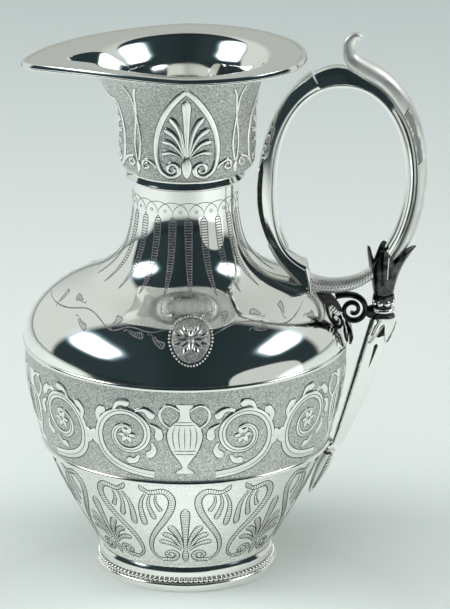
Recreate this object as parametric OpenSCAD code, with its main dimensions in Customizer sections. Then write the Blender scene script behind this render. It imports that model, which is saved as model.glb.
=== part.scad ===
// Silver cream jug with a leaf handle, all sizes in millimetres.
// The origin is on the jug's axis, in the plane that the foot stands on.
// +Z is up, +X points to the handle and -X to the spout.

/* [Foot] */
// Radius of the base moulding
foot_r = 28.5; // [27.5:0.5:31]
// Height of the base moulding
foot_ring_h = 2.6; // [2:0.1:3.5]
// Height of the hollow moulding above it
foot_cove_h = 4; // [3.4:0.1:6]
// Width of the foot's mouldings at the floor
foot_w = 3.6; // [3:0.1:5]
// Diameter of one bead on the foot
bead_d = 1.5; // [1.2:0.1:1.7]

/* [Bowl] */
// Thickness of the raised silver sheet
wall = 1; // [0.8:0.1:1.3]
// Radius of the bowl where it turns up from its floor
bowl_foot_r = 27.2; // [26.5:0.1:28.5]
// Radius of the bowl at its top
bowl_top_r = 43.7; // [41:0.1:44.4]
// Height of the bowl
bowl_h = 34.6; // [30:0.2:40]

/* [Frieze] */
// Height of the frieze band
band_h = 30.6; // [26:0.2:36]
// Radius of the band at its lower edge
band_bottom_r = 44.8; // [44.2:0.1:46]
// Radius of the band at its upper edge
band_top_r = 50.2; // [48.5:0.1:52]
// Height of the rings above and below the band
moulding_h = 1.8; // [1.4:0.1:2.4]
// How far those rings stand out from the band
moulding_out = 0.6; // [0.3:0.1:1]

/* [Shoulder and neck] */
// Height from the upper ring to where the neck is straight
shoulder_h = 40.6; // [36:0.2:46]
// Radius of the neck
neck_r = 16.3; // [15:0.1:17.5]
// Height of the straight neck
neck_h = 11.2; // [8:0.2:16]
// Height of the ring between neck and collar
neck_ring_h = 3.6; // [2.8:0.1:5]
// Radius of the ring between neck and collar
neck_ring_r = 18.4; // [18:0.1:19]

/* [Mouth] */
// Radius of the collar
collar_r = 21; // [19.8:0.1:22.5]
// Height of the collar and its flare, up to the rim
collar_h = 35.2; // [32:0.2:38]
// Reach of the rim from the axis, towards the handle
mouth_back = 37.6; // [34:0.2:40]
// Half of the rim's width
mouth_side = 32.2; // [30:0.2:35]
// Reach of the rim from the axis, to the tip of the spout
mouth_spout = 50.4; // [46:0.2:54]
// How far the tip of the spout hangs below the rim
spout_drop = 3; // [1:0.2:5]
// Width of the wire along the rim
rim_w = 1.7; // [1.3:0.1:2.2]
// Height of the wire along the rim
rim_h = 2.8; // [1.8:0.1:3.4]

/* [Handle] */
// Width of the finger opening
loop_w = 42.4; // [38:0.2:46]
// Height of the finger opening
loop_h = 63.1; // [58:0.2:66]
// Distance from the jug's axis to the seat on the shoulder
seat_r = 39; // [37:0.2:41]
// How far the opening's lowest point stands above the seat
seat_rise = 3.2; // [2.6:0.1:5]
// How far the opening's middle stands out from the seat
loop_out = 9.3; // [8:0.1:10.6]
// Thickness of the limb next to the neck, at half height
limb_t = 5; // [4:0.1:6]
// Width of that limb, at half height
limb_w = 5.6; // [4.8:0.1:6.4]
// Thickness of the lower limb
stem_t = 4.3; // [3.6:0.1:5]
// Thickness of the bar under the leaf
bow_t = 1.5; // [1.2:0.1:1.9]
// Thickness of the leaf on the outer limb, at half height
leaf_t = 3.6; // [2.8:0.1:4.6]
// Width of that leaf, at half height
leaf_w = 5.8; // [5:0.1:6.6]
// Height of the thumbpiece above the finger opening
thumb_h = 15.6; // [13:0.2:19]
// How far the knop's axis stands out from the ring above the frieze
knop_out = 10.8; // [9.6:0.1:12]
// Radius of the knop's calyx
knop_r = 4.5; // [4:0.1:5.2]
// Height of the knop's calyx
calyx_h = 10; // [8.5:0.1:12]
// Radius of the knop's bead ring
knop_bead_r = 3.4; // [3:0.1:3.8]
// Height of the knop's bead ring and the waist below it
bead_band_h = 7.2; // [6:0.1:8]
// Width of the strut at its upper end
strut_w = 7; // [6:0.1:8]
// Thickness of the strut
strut_t = 3.8; // [3:0.1:4.6]
// Height of the knob at the strut's foot, from the floor
strut_foot_z = 39.6; // [37:0.2:41]
// Radius of that knob
knob_r = 1.6; // [1.3:0.1:1.9]
// Length of the leaf below that knob
strut_leaf_h = 15; // [11:0.2:18]
// Radius of the scroll between shoulder and knop
scroll_r = 4.3; // [3.8:0.1:4.5]

/* [Hidden] */
$fn = 96;

// Gap between pieces that lie against each other on curved faces
seat_gap = 0.2;
silver = [0.80, 0.80, 0.81];
satin = [0.76, 0.76, 0.77];
oxidised = [0.55, 0.55, 0.57];

// Heights of the body's seams, from the floor up
bowl_z = foot_ring_h + foot_cove_h;
lower_ring_z = bowl_z + bowl_h;
band_z = lower_ring_z + moulding_h;
upper_ring_z = band_z + band_h;
shoulder_z = upper_ring_z + moulding_h;
neck_z = shoulder_z + shoulder_h;
neck_ring_z = neck_z + neck_h;
collar_z = neck_ring_z + neck_ring_h;
rim_z = collar_z + collar_h;

// Point on a smooth curve between b and c, with a and d beside them
function bend(a, b, c, d, t) =
  0.5 * (2 * b + (c - a) * t + (2 * a - 5 * b + 4 * c - d) * t * t + (3 * b - a - 3 * c + d) * t * t * t);

// Points of a smooth open curve through the knots, with n steps in each span
function smooth(k, n) = concat(
  [for (i = [0 : len(k) - 2], j = [0 : n - 1])
    bend(k[max(i - 1, 0)], k[i], k[i + 1], k[min(i + 2, len(k) - 1)], j / n)],
  [k[len(k) - 1]]);

function flip(list) = [for (i = [len(list) - 1 : -1 : 0]) list[i]];
function power(x, e) = sign(x) * pow(abs(x), e);

// Points of a profile moved by d to the left of its direction
function beside(p, d) = [for (i = [0 : len(p) - 1])
  let (t = p[min(i + 1, len(p) - 1)] - p[max(i - 1, 0)])
  p[i] + d * [-t[1], t[0]] / norm(t)];

// Radius of a profile at height z, and its height at radius r
function radius_at(p, z) = lookup(z, [for (q = p) [q[1], q[0]]]);
function height_at(p, r) = lookup(-r, [for (q = p) [-q[0], q[1]]]);

// Outer profiles of the three shells, as radius and height from the bottom up
bowl_profile = smooth([for (k = [[0, 0], [0.25, 0.28], [0.65, 0.71], [1, 1]])
  [bowl_foot_r + (bowl_top_r - bowl_foot_r) * k[1], bowl_z + wall + (bowl_h - wall) * k[0]]], 5);
band_profile = [for (t = [0 : 0.1 : 1])
  [band_bottom_r + (band_top_r - band_bottom_r) * (1 - (1 - t) * (1 - t)), band_z + band_h * t]];
shoulder_profile = smooth(concat([for (k = [[0, 1], [0.11, 0.97], [0.285, 0.82], [0.43, 0.55],
    [0.565, 0.25], [0.7, 0.09], [0.86, 0.02], [1, 0]])
  [neck_r + (band_top_r + seat_gap - neck_r) * k[1], shoulder_z + shoulder_h * k[0]]]), 4);

// A revolved ring with a half round front, from radius r0 to r1
module half_round(r0, r1, z, h) {
  rotate_extrude() {
    translate([r0, z]) square([r1 - h / 2 - r0, h]);
    translate([r1 - h / 2, z + h / 2]) circle(d = h);
  }
}

// A closed skin over rings of points: each ring is joined to the next, and ends are capped or joined
module skin(rings, joined = false) {
  n = len(rings);
  m = len(rings[0]);
  last = joined ? n - 1 : n - 2;
  sides = [for (i = [0 : last], j = [0 : m - 1], side = [0, 1])
    let (a = i * m, b = ((i + 1) % n) * m, next = (j + 1) % m)
    side == 0 ? [a + j, b + j, b + next] : [a + j, b + next, a + next]];
  caps = joined ? [] : concat(
    [for (j = [1 : m - 2]) [0, j, j + 1]],
    [for (j = [1 : m - 2]) [(n - 1) * m, (n - 1) * m + j + 1, (n - 1) * m + j]]);
  polyhedron(points = [for (r = rings) each r], faces = concat(sides, caps));
}

// A bar in the plane of the handle. Each knot is x, z, half thickness in the plane, half width across it
module bar(knots, steps, sides = 12) {
  path = smooth(knots, steps);
  n = len(path);
  skin([for (i = [0 : n - 1])
    let (p = path[i], d = path[min(i + 1, n - 1)] - path[max(i - 1, 0)], l = norm([d[0], d[1]]))
    [for (j = [0 : sides - 1]) let (a = 360 * j / sides)
      [p[0] - d[1] / l * p[2] * cos(a), p[3] * sin(a), p[1] + d[0] / l * p[2] * cos(a)]]]);
}

// The body's outer form, made larger by gap, from which the handle's seats are cut
module body_form(gap) {
  rotate_extrude() polygon(concat([[0, bowl_z]],
    beside(bowl_profile, -gap), beside(band_profile, -gap),
    beside(shoulder_profile, -gap), [[0, neck_z]]));
}

// Foot

foot_inner_r = foot_r - foot_w - foot_ring_h / 2;

module foot_ring() {
  round_r = foot_ring_h * 0.6;
  color(silver) rotate_extrude() {
    translate([foot_inner_r, 0]) square([foot_r - round_r - foot_inner_r, foot_ring_h]);
    intersection() {
      translate([foot_r - round_r, foot_ring_h / 2]) circle(r = round_r);
      translate([foot_r - 2 * round_r, 0]) square([2 * round_r, foot_ring_h]);
    }
  }
}

// The beads stand a little inside the base moulding, just clear of what is below and above them
bead_inset = 0.35;
bead_gap = 0.1;
bead_pitch = 1.06 * bead_d;
bead_ring_r = foot_r - bead_d / 2 - bead_inset;
bead_count = floor(2 * PI * bead_ring_r / bead_pitch);
bead_z = foot_ring_h + bead_d / 2 + bead_gap;

// One wire, swollen at each bead and drawn in between them
module foot_bead_wire() {
  bead_sides = 6;
  waist = 0.45;
  color(silver) skin([for (i = [0 : 2 * bead_count - 1])
    let (a = 180 * i / bead_count, r = bead_d / 2 * (i % 2 == 0 ? 1 : waist))
    [for (j = [0 : bead_sides - 1]) let (b = -360 * (j + 0.5) / bead_sides, x = bead_ring_r + r * cos(b))
      [x * cos(a), x * sin(a), bead_z + r * sin(b)]]], joined = true);
}

module foot_cove() {
  step_r = bead_ring_r - bead_d / 2 - bead_gap;
  cove_z = bead_z + bead_d / 2 + bead_gap;
  cove_h = bowl_z - cove_z;
  cove_lip = 0.15;
  color(silver) rotate_extrude() difference() {
    polygon([[foot_inner_r, foot_ring_h], [step_r, foot_ring_h], [step_r, cove_z],
      [bowl_foot_r - wall, bowl_z], [foot_inner_r, bowl_z]]);
    translate([step_r + cove_lip, cove_z + cove_h / 2]) circle(d = cove_h * 0.8);
  }
}

// Body

module lower_bowl() {
  floor_r = bowl_foot_r - wall;
  inside = beside(bowl_profile, wall);
  color(satin) rotate_extrude() polygon(concat(
    [[0, bowl_z], [floor_r, bowl_z]], bowl_profile,
    flip([for (p = inside) if (p[1] > bowl_z + 1.2 * wall) [p[0], min(p[1], lower_ring_z)]]),
    [[bowl_foot_r - 1.6 * wall, bowl_z + wall], [0, bowl_z + wall]]));
}

module lower_band_moulding() {
  color(silver) half_round(min(bowl_top_r, band_bottom_r) - wall, max(bowl_top_r, band_bottom_r) + moulding_out,
    lower_ring_z, moulding_h);
}

module frieze_band() {
  color(oxidised) rotate_extrude() polygon(concat(band_profile,
    flip([for (p = band_profile) [p[0] - wall, p[1]]])));
}

module upper_band_moulding() {
  color(silver) half_round(band_top_r - wall, band_top_r + moulding_out, upper_ring_z, moulding_h);
}

module shoulder_and_neck() {
  outside = concat(shoulder_profile, [[neck_r, neck_ring_z]]);
  inside = beside(shoulder_profile, wall);
  color(silver) rotate_extrude() polygon(concat(outside, [[neck_r - wall, neck_ring_z]],
    flip([for (p = inside) [p[0], max(p[1], shoulder_z)]])));
}

// Two round mouldings with a hollow between them, the lower one set back
module neck_ring() {
  round_h = neck_ring_h * 0.36;
  set_back = 0.5;
  inner_r = neck_r - wall;
  core_r = neck_ring_r - round_h - set_back / 2;
  color(silver) rotate_extrude() {
    translate([inner_r, neck_ring_z]) square([core_r - inner_r, neck_ring_h]);
    for (k = [[neck_ring_r - set_back, neck_ring_z], [neck_ring_r, collar_z - round_h]]) {
      translate([k[0] - round_h / 2, k[1] + round_h / 2]) circle(d = round_h);
      translate([inner_r, k[1]]) square([k[0] - round_h / 2 - inner_r, round_h]);
    }
  }
}

// Mouth

// Plan of the rim: an ellipse at the back that draws out to a spout with a blunt nose in front
spout_power = 1.4;
nose_share = 0.22;
nose_power = 8;
function rim_edge(a) = let (c = cos(a), s = sin(a))
  c >= 0 ? [mouth_back * c, mouth_side * s]
    : [mouth_spout * c, sign(s) * mouth_side
      * ((1 - nose_share) * (1 - pow(-c, spout_power)) + nose_share * sqrt(1 - pow(-c, nose_power)))];
function rim_outward(a) = let (t = rim_edge(a + 1) - rim_edge(a - 1)) [t[1], -t[0]] / norm(t);

// The same plan drawn in by d
function rim_plan(a, d) = rim_edge(a) - d * rim_outward(a);

// How far the rim lies below its own plane, most of all at the spout
function rim_fall(a) = let (c = cos(a)) spout_drop * (c < 0 ? pow(c, 4) : 0.2 * c * c);

// The flare: shares of the collar's height, of its radius to add, and of the way to the rim
flare = [[0, -0.11, 0], [0.012, -0.062, 0], [0.045, -0.024, 0], [0.11, -0.005, 0], [0.4, 0.007, 0.005],
  [0.58, 0.014, 0.022], [0.745, 0.024, 0.075], [0.83, 0.029, 0.125], [0.89, 0.036, 0.17],
  [0.93, 0.043, 0.215], [0.96, 0.057, 0.33], [0.98, 0.076, 0.55], [0.992, 0.09, 0.78], [1, 0.095, 1]];
rim_joint = rim_w + seat_gap;
mouth_columns = 48;

function mouth_ring(k, inside) = [for (j = [0 : mouth_columns - 1])
  let (a = 360 * j / mouth_columns, w = k[2],
    p = (1 - w) * (collar_r * (1 + k[1]) - inside * wall) * [cos(a), sin(a)] + w * rim_plan(a, rim_joint))
  [p[0], p[1], collar_z + k[0] * collar_h + inside * wall * sqrt(w) - w * rim_fall(a)]];

module mouthpiece() {
  color(oxidised) skin(concat(
    [for (k = flare) mouth_ring(k, 0)], [for (k = flip(flare)) mouth_ring(k, 1)]), joined = true);
}

// The wire's section, two rounds with a groove between them, in halves of its width and height
rim_section = [[-1, 0.3], [-0.6, 0.85], [0.1, 1], [0.75, 0.85], [1, 0.4], [0.7, -0.05], [0.95, -0.55],
  [0.5, -0.95], [-0.3, -1], [-1, -0.6]];

module rim_wire() {
  rim_steps = 72;
  color(silver) skin([for (i = [0 : rim_steps - 1])
    let (a = 360 * i / rim_steps, p = rim_plan(a, rim_w / 2), n = rim_outward(a))
    [for (k = rim_section) let (out = rim_w / 2 * k[0])
      [p[0] + n[0] * out, p[1] + n[1] * out,
        rim_z + wall / 2 - rim_fall(a) + rim_h / 2 * k[1]]]], joined = true);
}

// Handle

// The knop's axis, and the finger opening, whose lower end leans to the jug so that its limb meets the knop
knop_angle = -50;
loop_round = 0.93;
knop_x = band_top_r + moulding_out + knop_out;
seat_z = height_at(shoulder_profile, seat_r);
loop_x = seat_r + loop_out;
loop_z = seat_z + seat_rise + loop_h / 2;
loop_lean = (loop_x + loop_w / 2 * power(cos(knop_angle), loop_round) + bow_t / 2 - knop_x)
  / power(-sin(knop_angle), loop_round);

function opening(a) = let (u = power(cos(a), loop_round), v = power(sin(a), loop_round))
  [loop_x + loop_w / 2 * u + loop_lean * min(v, 0), loop_z + loop_h / 2 * v];
function outward(a) = let (t = opening(a + 2) - opening(a - 2)) [t[1], -t[0]] / norm(t);

// Knot of a limb that lies between two distances from the opening's edge
function limb(a, inner, outer, half_width) = let (p = opening(a) + outward(a) * (inner + outer) / 2)
  [p[0], p[1], (outer - inner) / 2, half_width];

// Where the sheath joins the upper bar, and the slanted plane where it ends over the stem
joint_angle = 108;
sheath_end = opening(240) + [0.37, 0.4] * limb_t;
sheath_end_tilt = -8.7;

// Keeps the side of a piece away from (keep = -1) or towards (keep = 1) the knop, at the sheath's end
module at_sheath_end(keep) {
  size = loop_w;
  translate([sheath_end[0], 0, sheath_end[1]]) rotate([0, sheath_end_tilt, 0])
    translate([keep > 0 ? seat_gap : -size - seat_gap / 2, -size / 2, -size / 2]) cube(size);
}

// The sheath: angle, inner and outer face in shares of its thickness, and share of its width
sheath = [[joint_angle, 0, 1.12, 1.04], [130, 0, 0.84, 0.96], [150, 0, 0.8, 0.93], [165, 0, 0.86, 0.93],
  [180, 0, 1, 1], [195, 0, 1.06, 1.04], [210, 0, 1.12, 1.1], [224, -0.08, 1.32, 1.32],
  [236, -0.32, 1.6, 1.75], [248, -0.56, 1.8, 2.3], [262, -0.56, 1.6, 2.6]];

module handle_sheath() {
  color(silver) difference() {
    intersection() {
      bar([for (k = sheath) limb(k[0], k[1] * limb_t, k[2] * limb_t, k[3] * limb_w / 2)], 3, 16);
      union() {
        at_sheath_end(-1);
        translate([loop_x - loop_w, -loop_w / 2, loop_z - loop_h / 4]) cube([loop_w, loop_w, loop_h]);
      }
    }
    body_form(seat_gap);
  }
}

// The outer limb: angle, shares of the bar's and the leaf's thickness, and of their widths
outer_limb = [[65, 1.6, 1.39, 0.89, 1.34], [48, 1.13, 1.36, 0.86, 1.28], [30, 1.07, 1.19, 0.82, 1.14],
  [10, 1, 1.03, 0.79, 1], [-10, 1, 0.94, 0.79, 0.93], [-28, 1, 0.89, 0.79, 0.86],
  [-40, 1.13, 0.67, 0.79, 0.76]];

// The upper bar, as thick as the sheath at first: angle and share of the sheath's thickness
upper_bar = [[joint_angle - 2.6, 1.02], [92, 1.12], [83, 0.84], [74, 0.56]];

module handle_bow() {
  half_w = limb_w / 2;
  color(silver) bar(concat(
    [for (k = upper_bar) limb(k[0], 0, k[1] * limb_t, 0.93 * half_w)],
    [for (k = outer_limb) limb(k[0], 0, k[1] * bow_t, k[3] * half_w)],
    [limb(knop_angle, 0, 1.47 * bow_t, 0.79 * half_w)]), 3);
}

// The thumbpiece, where the leaf curls over: shares of its height, then of the leaf's thickness and width
thumb_curl = [[0.31, 0.96, 0.19, 0.41], [0.186, 0.897, 0.37, 0.69], [0.135, 0.744, 0.44, 0.86],
  [0.154, 0.55, 0.56, 1.14], [0.34, 0.38, 0.65, 1.34]];

module handle_leaf() {
  leaf_gap = 1.5 * seat_gap;
  top = [loop_x, loop_z + loop_h / 2];
  color(silver) bar(concat(
    [for (k = thumb_curl)
      [top[0] + k[0] * thumb_h, top[1] + k[1] * thumb_h, k[2] * leaf_t, k[3] * leaf_w / 2]],
    [for (k = outer_limb) let (inner = k[1] * bow_t + leaf_gap)
      limb(k[0], inner, inner + k[2] * leaf_t, k[4] * leaf_w / 2)]), 3);
}

// The knop stands below the outer limb
knop_top = opening(knop_angle)[1] - 0.22 * calyx_h;
calyx_z = knop_top - calyx_h;
waist_z = calyx_z - bead_band_h;

module at_knop() {
  translate([knop_x, 0, 0]) children();
}

// Height of the ornament between stem and shoulder, with the gap below it
root_t = 1.1;

// The stem: angle, inner and outer face in shares of its thickness, and share of the limb's width
stem = [[236, -0.05, 1.37, 1.14], [248, 0, 1.33, 1.11], [258, 0, 1.14, 1], [270, 0, 1, 0.93],
  [282, 0, 1, 0.89], [294, 0, 1, 0.89], [306, 0, 1, 0.89]];

module handle_stem() {
  color(silver) difference() {
    intersection() {
      bar([for (k = stem) limb(k[0], k[1] * stem_t, k[2] * stem_t, k[3] * limb_w / 2)], 3);
      at_sheath_end(1);
    }
    body_form(root_t + seat_gap);
    at_knop() translate([0, 0, calyx_z - 0.2 * calyx_h]) cylinder(r = knop_r + seat_gap, h = 1.8 * calyx_h);
  }
}

// The calyx is a cup whose edge draws out to four leaf tips, the longest away from the jug
function calyx_lobe(a) = pow(abs(cos(2 * a)), 1.4);
function calyx_spread(a) = knop_r * calyx_lobe(a) * (0.13 + 0.53 * cos(a) + 0.49 * pow(cos(a), 2));
function calyx_point(a, t, inset) =
  let (r = knop_r * (0.69 + 0.31 * min(1, 1.25 * t)) + calyx_spread(a) * pow(t, 2.4) - inset)
  [r * cos(a), r * sin(a), calyx_z + calyx_h * (1.03 + 0.55 * calyx_lobe(a)) * t];

module knop_upper_leaves() {
  columns = 32;
  edge = 0.11 * knop_r;
  around = [for (j = [0 : columns - 1]) -360 * j / columns];
  cup_r = 0.8 * knop_r;
  color(silver) at_knop() skin(concat(
    [for (t = [0, 0.15, 0.35, 0.55, 0.75, 0.9, 1]) [for (a = around) calyx_point(a, t, 0)]],
    [[for (a = around) calyx_point(a, 1, edge)], [for (a = around) calyx_point(a, 0.8, 1.6 * edge)],
      [for (a = around) [cup_r * cos(a), cup_r * sin(a), knop_top]]]));
}

module knop_beads() {
  beads = 6;
  ball_r = knop_bead_r * 0.4;
  core_r = knop_bead_r - ball_r;
  color(silver) at_knop() translate([0, 0, waist_z]) {
    cylinder(r = core_r, h = bead_band_h);
    translate([0, 0, 0.28 * bead_band_h]) cylinder(r = 0.91 * knop_bead_r, h = 0.2 * bead_band_h);
    for (i = [0 : beads - 1])
      rotate([0, 0, 360 * (i + 0.5) / beads]) translate([core_r, 0, 0.7 * bead_band_h]) sphere(r = ball_r);
  }
}

// A skirt of pointed leaves, two on each face of the strut, that leans as the strut does
skirt_h = 0.28 * strut_w;
function skirt_point(a, side_x, side_y, depth) =
  [side_x * cos(a) + strut_lean * depth, side_y * sin(a), waist_z - depth];
function skirt_drop(a) = skirt_h + 0.9 * strut_w * pow(abs(sin(2 * a)), 1.2);

module knop_lower_leaves() {
  columns = 40;
  margin = 0.065 * strut_w;
  edge = 0.085 * strut_w;
  side_x = strut_w / 2 + margin;
  side_y = strut_t / 2 + margin;
  around = [for (j = [0 : columns - 1]) 360 * j / columns];
  color(silver) at_knop() skin([
    [for (a = around) skirt_point(a, knop_bead_r, knop_bead_r, 0)],
    [for (a = around) skirt_point(a, side_x + edge, side_y + edge, skirt_h / 2)],
    [for (a = around) skirt_point(a, side_x + edge, side_y + edge, (skirt_h + skirt_drop(a)) / 2)],
    [for (a = around) skirt_point(a, side_x + edge / 2, side_y + edge / 2, skirt_drop(a))],
    [for (a = around) skirt_point(a, side_x, side_y, skirt_drop(a))],
    [for (a = around) skirt_point(a, side_x, side_y, skirt_h)]]);
}

// The strut runs from under the knop down to the knob on the bowl
strut_top_z = waist_z - skirt_h - seat_gap;
knob_x = radius_at(bowl_profile, strut_foot_z) + knob_r + seat_gap;
strut_foot = [knob_x + 1.5 * knob_r, strut_foot_z - 0.3 * knob_r];
strut_lean = -0.86 * (knop_x - strut_foot[0]) / (strut_top_z - strut_foot[1]);

// Shares of the strut's drop and of its run to the jug, and its half width in shares of the upper width
strut_knots = [[0, 0, 0.5], [0.22, 0.19, 0.49], [0.45, 0.40, 0.45], [0.75, 0.71, 0.34], [1, 1, 0.2]];

module strut() {
  top = [knop_x + strut_lean * skirt_h, strut_top_z + skirt_h / 2];
  drop = strut_foot - top;
  color(silver) difference() {
    bar([for (k = strut_knots) let (half_w = strut_t / 2 * (0.7 + 0.6 * k[2]))
      [top[0] + drop[0] * k[1], top[1] + drop[1] * k[0], k[2] * strut_w, half_w]], 3, 12);
    translate([knop_x - loop_w / 2, -loop_w / 2, strut_top_z]) cube(loop_w);
    translate([knob_x, 0, strut_foot_z]) sphere(r = knob_r + seat_gap / 2);
  }
}

module strut_knob() {
  color(silver) translate([knob_x, 0, strut_foot_z]) sphere(r = knob_r);
}

// A leaf outline in the plane across the handle, with its tip down, extruded along X
module leaf_plan(tip_z, top_z, width) {
  h = top_z - tip_z;
  side = smooth([[0, tip_z], [0.36 * width, tip_z + 0.3 * h], [0.5 * width, tip_z + 0.62 * h],
    [0.34 * width, top_z]], 4);
  rotate([90, 0, 90]) linear_extrude(height = 3 * seat_r)
    polygon(concat(side, flip([for (p = side) [-p[0], p[1]]])));
}

// The leaf at the strut's foot: shares of its length from the tip, and of the strut's thickness
strut_leaf_rise = [[0, 0.18], [0.35, 0.58], [0.75, 0.79], [1, 0.68]];

module strut_leaf() {
  top_z = strut_foot_z - 1.3 * knob_r;
  tip_z = top_z - strut_leaf_h;
  on_bowl = function (t, d) let (z = tip_z + t * strut_leaf_h) [radius_at(bowl_profile, z) + d, z];
  color(silver) intersection() {
    rotate_extrude() polygon(concat([for (t = [0 : 0.25 : 1]) on_bowl(t, seat_gap)],
      flip([for (k = strut_leaf_rise) on_bowl(k[0], k[1] * strut_t)])));
    leaf_plan(tip_z, top_z, 0.91 * strut_w);
  }
}

// What sits on the shoulder below the handle shares the run from the seat to the edge
edge_run = band_top_r - seat_r;
scroll_z = waist_z + 0.32 * bead_band_h + 0.1 * scroll_r;

// The scroll leaves the shoulder under the stem, winds inwards and touches the knop
module scroll_bracket() {
  r = scroll_r;
  wire = 0.21 * r;
  wire_w = 0.35 * r;
  centre = [knop_x - knop_bead_r - r - wire - seat_gap, scroll_z];
  root_r = seat_r + 0.66 * edge_run;
  root = [root_r, height_at(shoulder_profile, root_r) + 0.47 * r];
  turns = [for (a = [70 : -35 : -490]) let (k = (70 - a) / 560, d = r * (1 - 0.8 * k))
    [centre[0] + d * cos(a), centre[1] + d * sin(a) * 1.05, wire * (1 - 0.39 * k), wire_w * (1 - 0.2 * k)]];
  color(silver) bar(concat([[root[0], root[1], 0.67 * wire, 0.87 * wire_w],
    [(root[0] + centre[0]) / 2, root[1] + 0.12 * r, 0.9 * wire, wire_w]], turns), 2, 8);
}

// Ornament on the shoulder where the handle sits
module handle_root() {
  top_z = height_at(shoulder_profile, sheath_end[0] + 0.35 * limb_t);
  tip_z = height_at(shoulder_profile, seat_r + 0.58 * edge_run);
  low = [for (p = shoulder_profile) if (p[1] > tip_z - 3 * root_t && p[1] < top_z + 3 * root_t) p];
  color(silver) intersection() {
    rotate_extrude() polygon(concat(beside(low, -seat_gap), flip(beside(low, -root_t))));
    leaf_plan(tip_z, top_z, 2.3 * limb_w);
  }
}

// A leaf that hangs from under the scroll over the ring above the frieze
module root_leaf_drop() {
  top_z = scroll_z - scroll_r;
  tip_z = upper_ring_z - 0.9 * moulding_h;
  edge = band_top_r + moulding_out + seat_gap;
  top_r = radius_at(shoulder_profile, top_z) + seat_gap;
  foot_z = shoulder_z + 0.22 * moulding_h;
  bend_z = shoulder_z + 0.52 * (top_z - shoulder_z);
  seat = [for (p = flip(beside(shoulder_profile, -seat_gap))) if (p[1] > foot_z && p[1] < top_z) p];
  color(silver) intersection() {
    rotate_extrude() polygon(concat([[top_r, top_z]], seat, [[edge, foot_z], [edge, tip_z],
      [edge + 0.55 * root_t, tip_z], [edge + 1.2 * root_t, upper_ring_z + 0.72 * moulding_h],
      [edge + 0.73 * root_t, bend_z], [top_r + 0.73 * root_t, top_z]]));
    leaf_plan(tip_z, top_z, 1.05 * limb_w);
  }
}

foot_ring();
foot_bead_wire();
foot_cove();
lower_bowl();
lower_band_moulding();
frieze_band();
upper_band_moulding();
shoulder_and_neck();
neck_ring();
mouthpiece();
rim_wire();
handle_sheath();
handle_bow();
handle_leaf();
handle_stem();
knop_upper_leaves();
knop_beads();
knop_lower_leaves();
strut();
strut_knob();
strut_leaf();
scroll_bracket();
handle_root();
root_leaf_drop();
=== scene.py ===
# Dresses the silver cream jug: polished, satin and stippled silver with raised and engraved ornament
import math
import random

import bmesh
import bpy
import numpy as np
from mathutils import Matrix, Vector


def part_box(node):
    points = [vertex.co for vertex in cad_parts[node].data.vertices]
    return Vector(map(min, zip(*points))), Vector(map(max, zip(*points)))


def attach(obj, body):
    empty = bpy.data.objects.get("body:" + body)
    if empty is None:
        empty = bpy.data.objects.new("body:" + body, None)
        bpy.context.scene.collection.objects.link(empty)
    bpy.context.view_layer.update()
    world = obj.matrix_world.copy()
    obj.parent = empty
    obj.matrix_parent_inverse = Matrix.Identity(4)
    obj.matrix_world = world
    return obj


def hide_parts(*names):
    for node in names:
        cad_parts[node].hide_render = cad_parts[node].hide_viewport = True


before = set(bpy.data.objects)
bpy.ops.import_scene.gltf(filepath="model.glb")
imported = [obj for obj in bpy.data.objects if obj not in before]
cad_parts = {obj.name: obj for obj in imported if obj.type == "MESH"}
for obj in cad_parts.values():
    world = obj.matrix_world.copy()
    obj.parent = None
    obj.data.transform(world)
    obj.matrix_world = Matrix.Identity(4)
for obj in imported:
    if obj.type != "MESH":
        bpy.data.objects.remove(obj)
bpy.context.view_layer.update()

MM = 0.001
FRONT = -90.0


def low(node, axis):
    """Lowest coordinate of a CAD node along an axis, in millimetres."""
    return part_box(node)[0]["xyz".index(axis)] / MM


def high(node, axis):
    """Highest coordinate of a CAD node along an axis, in millimetres."""
    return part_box(node)[1]["xyz".index(axis)] / MM


def span(node, axis):
    return high(node, axis) - low(node, axis)


def middle(node, axis):
    return (low(node, axis) + high(node, axis)) / 2


# Sizes of the body in millimetres, from the frame where it gives them
wall = 1.0
foot_r = high("foot_ring", "x")
foot_ring_h = high("foot_ring", "z")
foot_inner_r = foot_r - 4.9
bead_z = middle("foot_bead_wire", "z")
bead_r = 0.55 * span("foot_bead_wire", "z")
bead_ring_r = high("foot_bead_wire", "x") - bead_r
bowl_z = low("lower_bowl", "z")
bowl_top_z = high("lower_bowl", "z")
bowl_top_r = high("lower_bowl", "x")
bowl_foot_r = 26.6
band_z = low("frieze_band", "z")
band_top_z = high("frieze_band", "z")
band_top_r = high("frieze_band", "x")
band_bottom_r = 44.8
shoulder_z = low("shoulder_and_neck", "z")
shoulder_r = high("shoulder_and_neck", "x")
neck_r = 16.3
neck_z = shoulder_z + 40.6
neck_ring_z = high("shoulder_and_neck", "z")
neck_ring_r = high("neck_ring", "x")
collar_z = high("neck_ring", "z")
collar_h = 35.2
collar_r = 21.0
collar_shift = 0.6
mouth_reach = 14.0
mouth_back = high("rim_wire", "x")
mouth_side = high("rim_wire", "y")
mouth_spout = -low("rim_wire", "x")
spout_drop = 3.0
rim_z = collar_z + collar_h
rim_w = 1.7
rim_h = 2 * (high("rim_wire", "z") - rim_z - wall / 2)
rim_gap = 0.1

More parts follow.
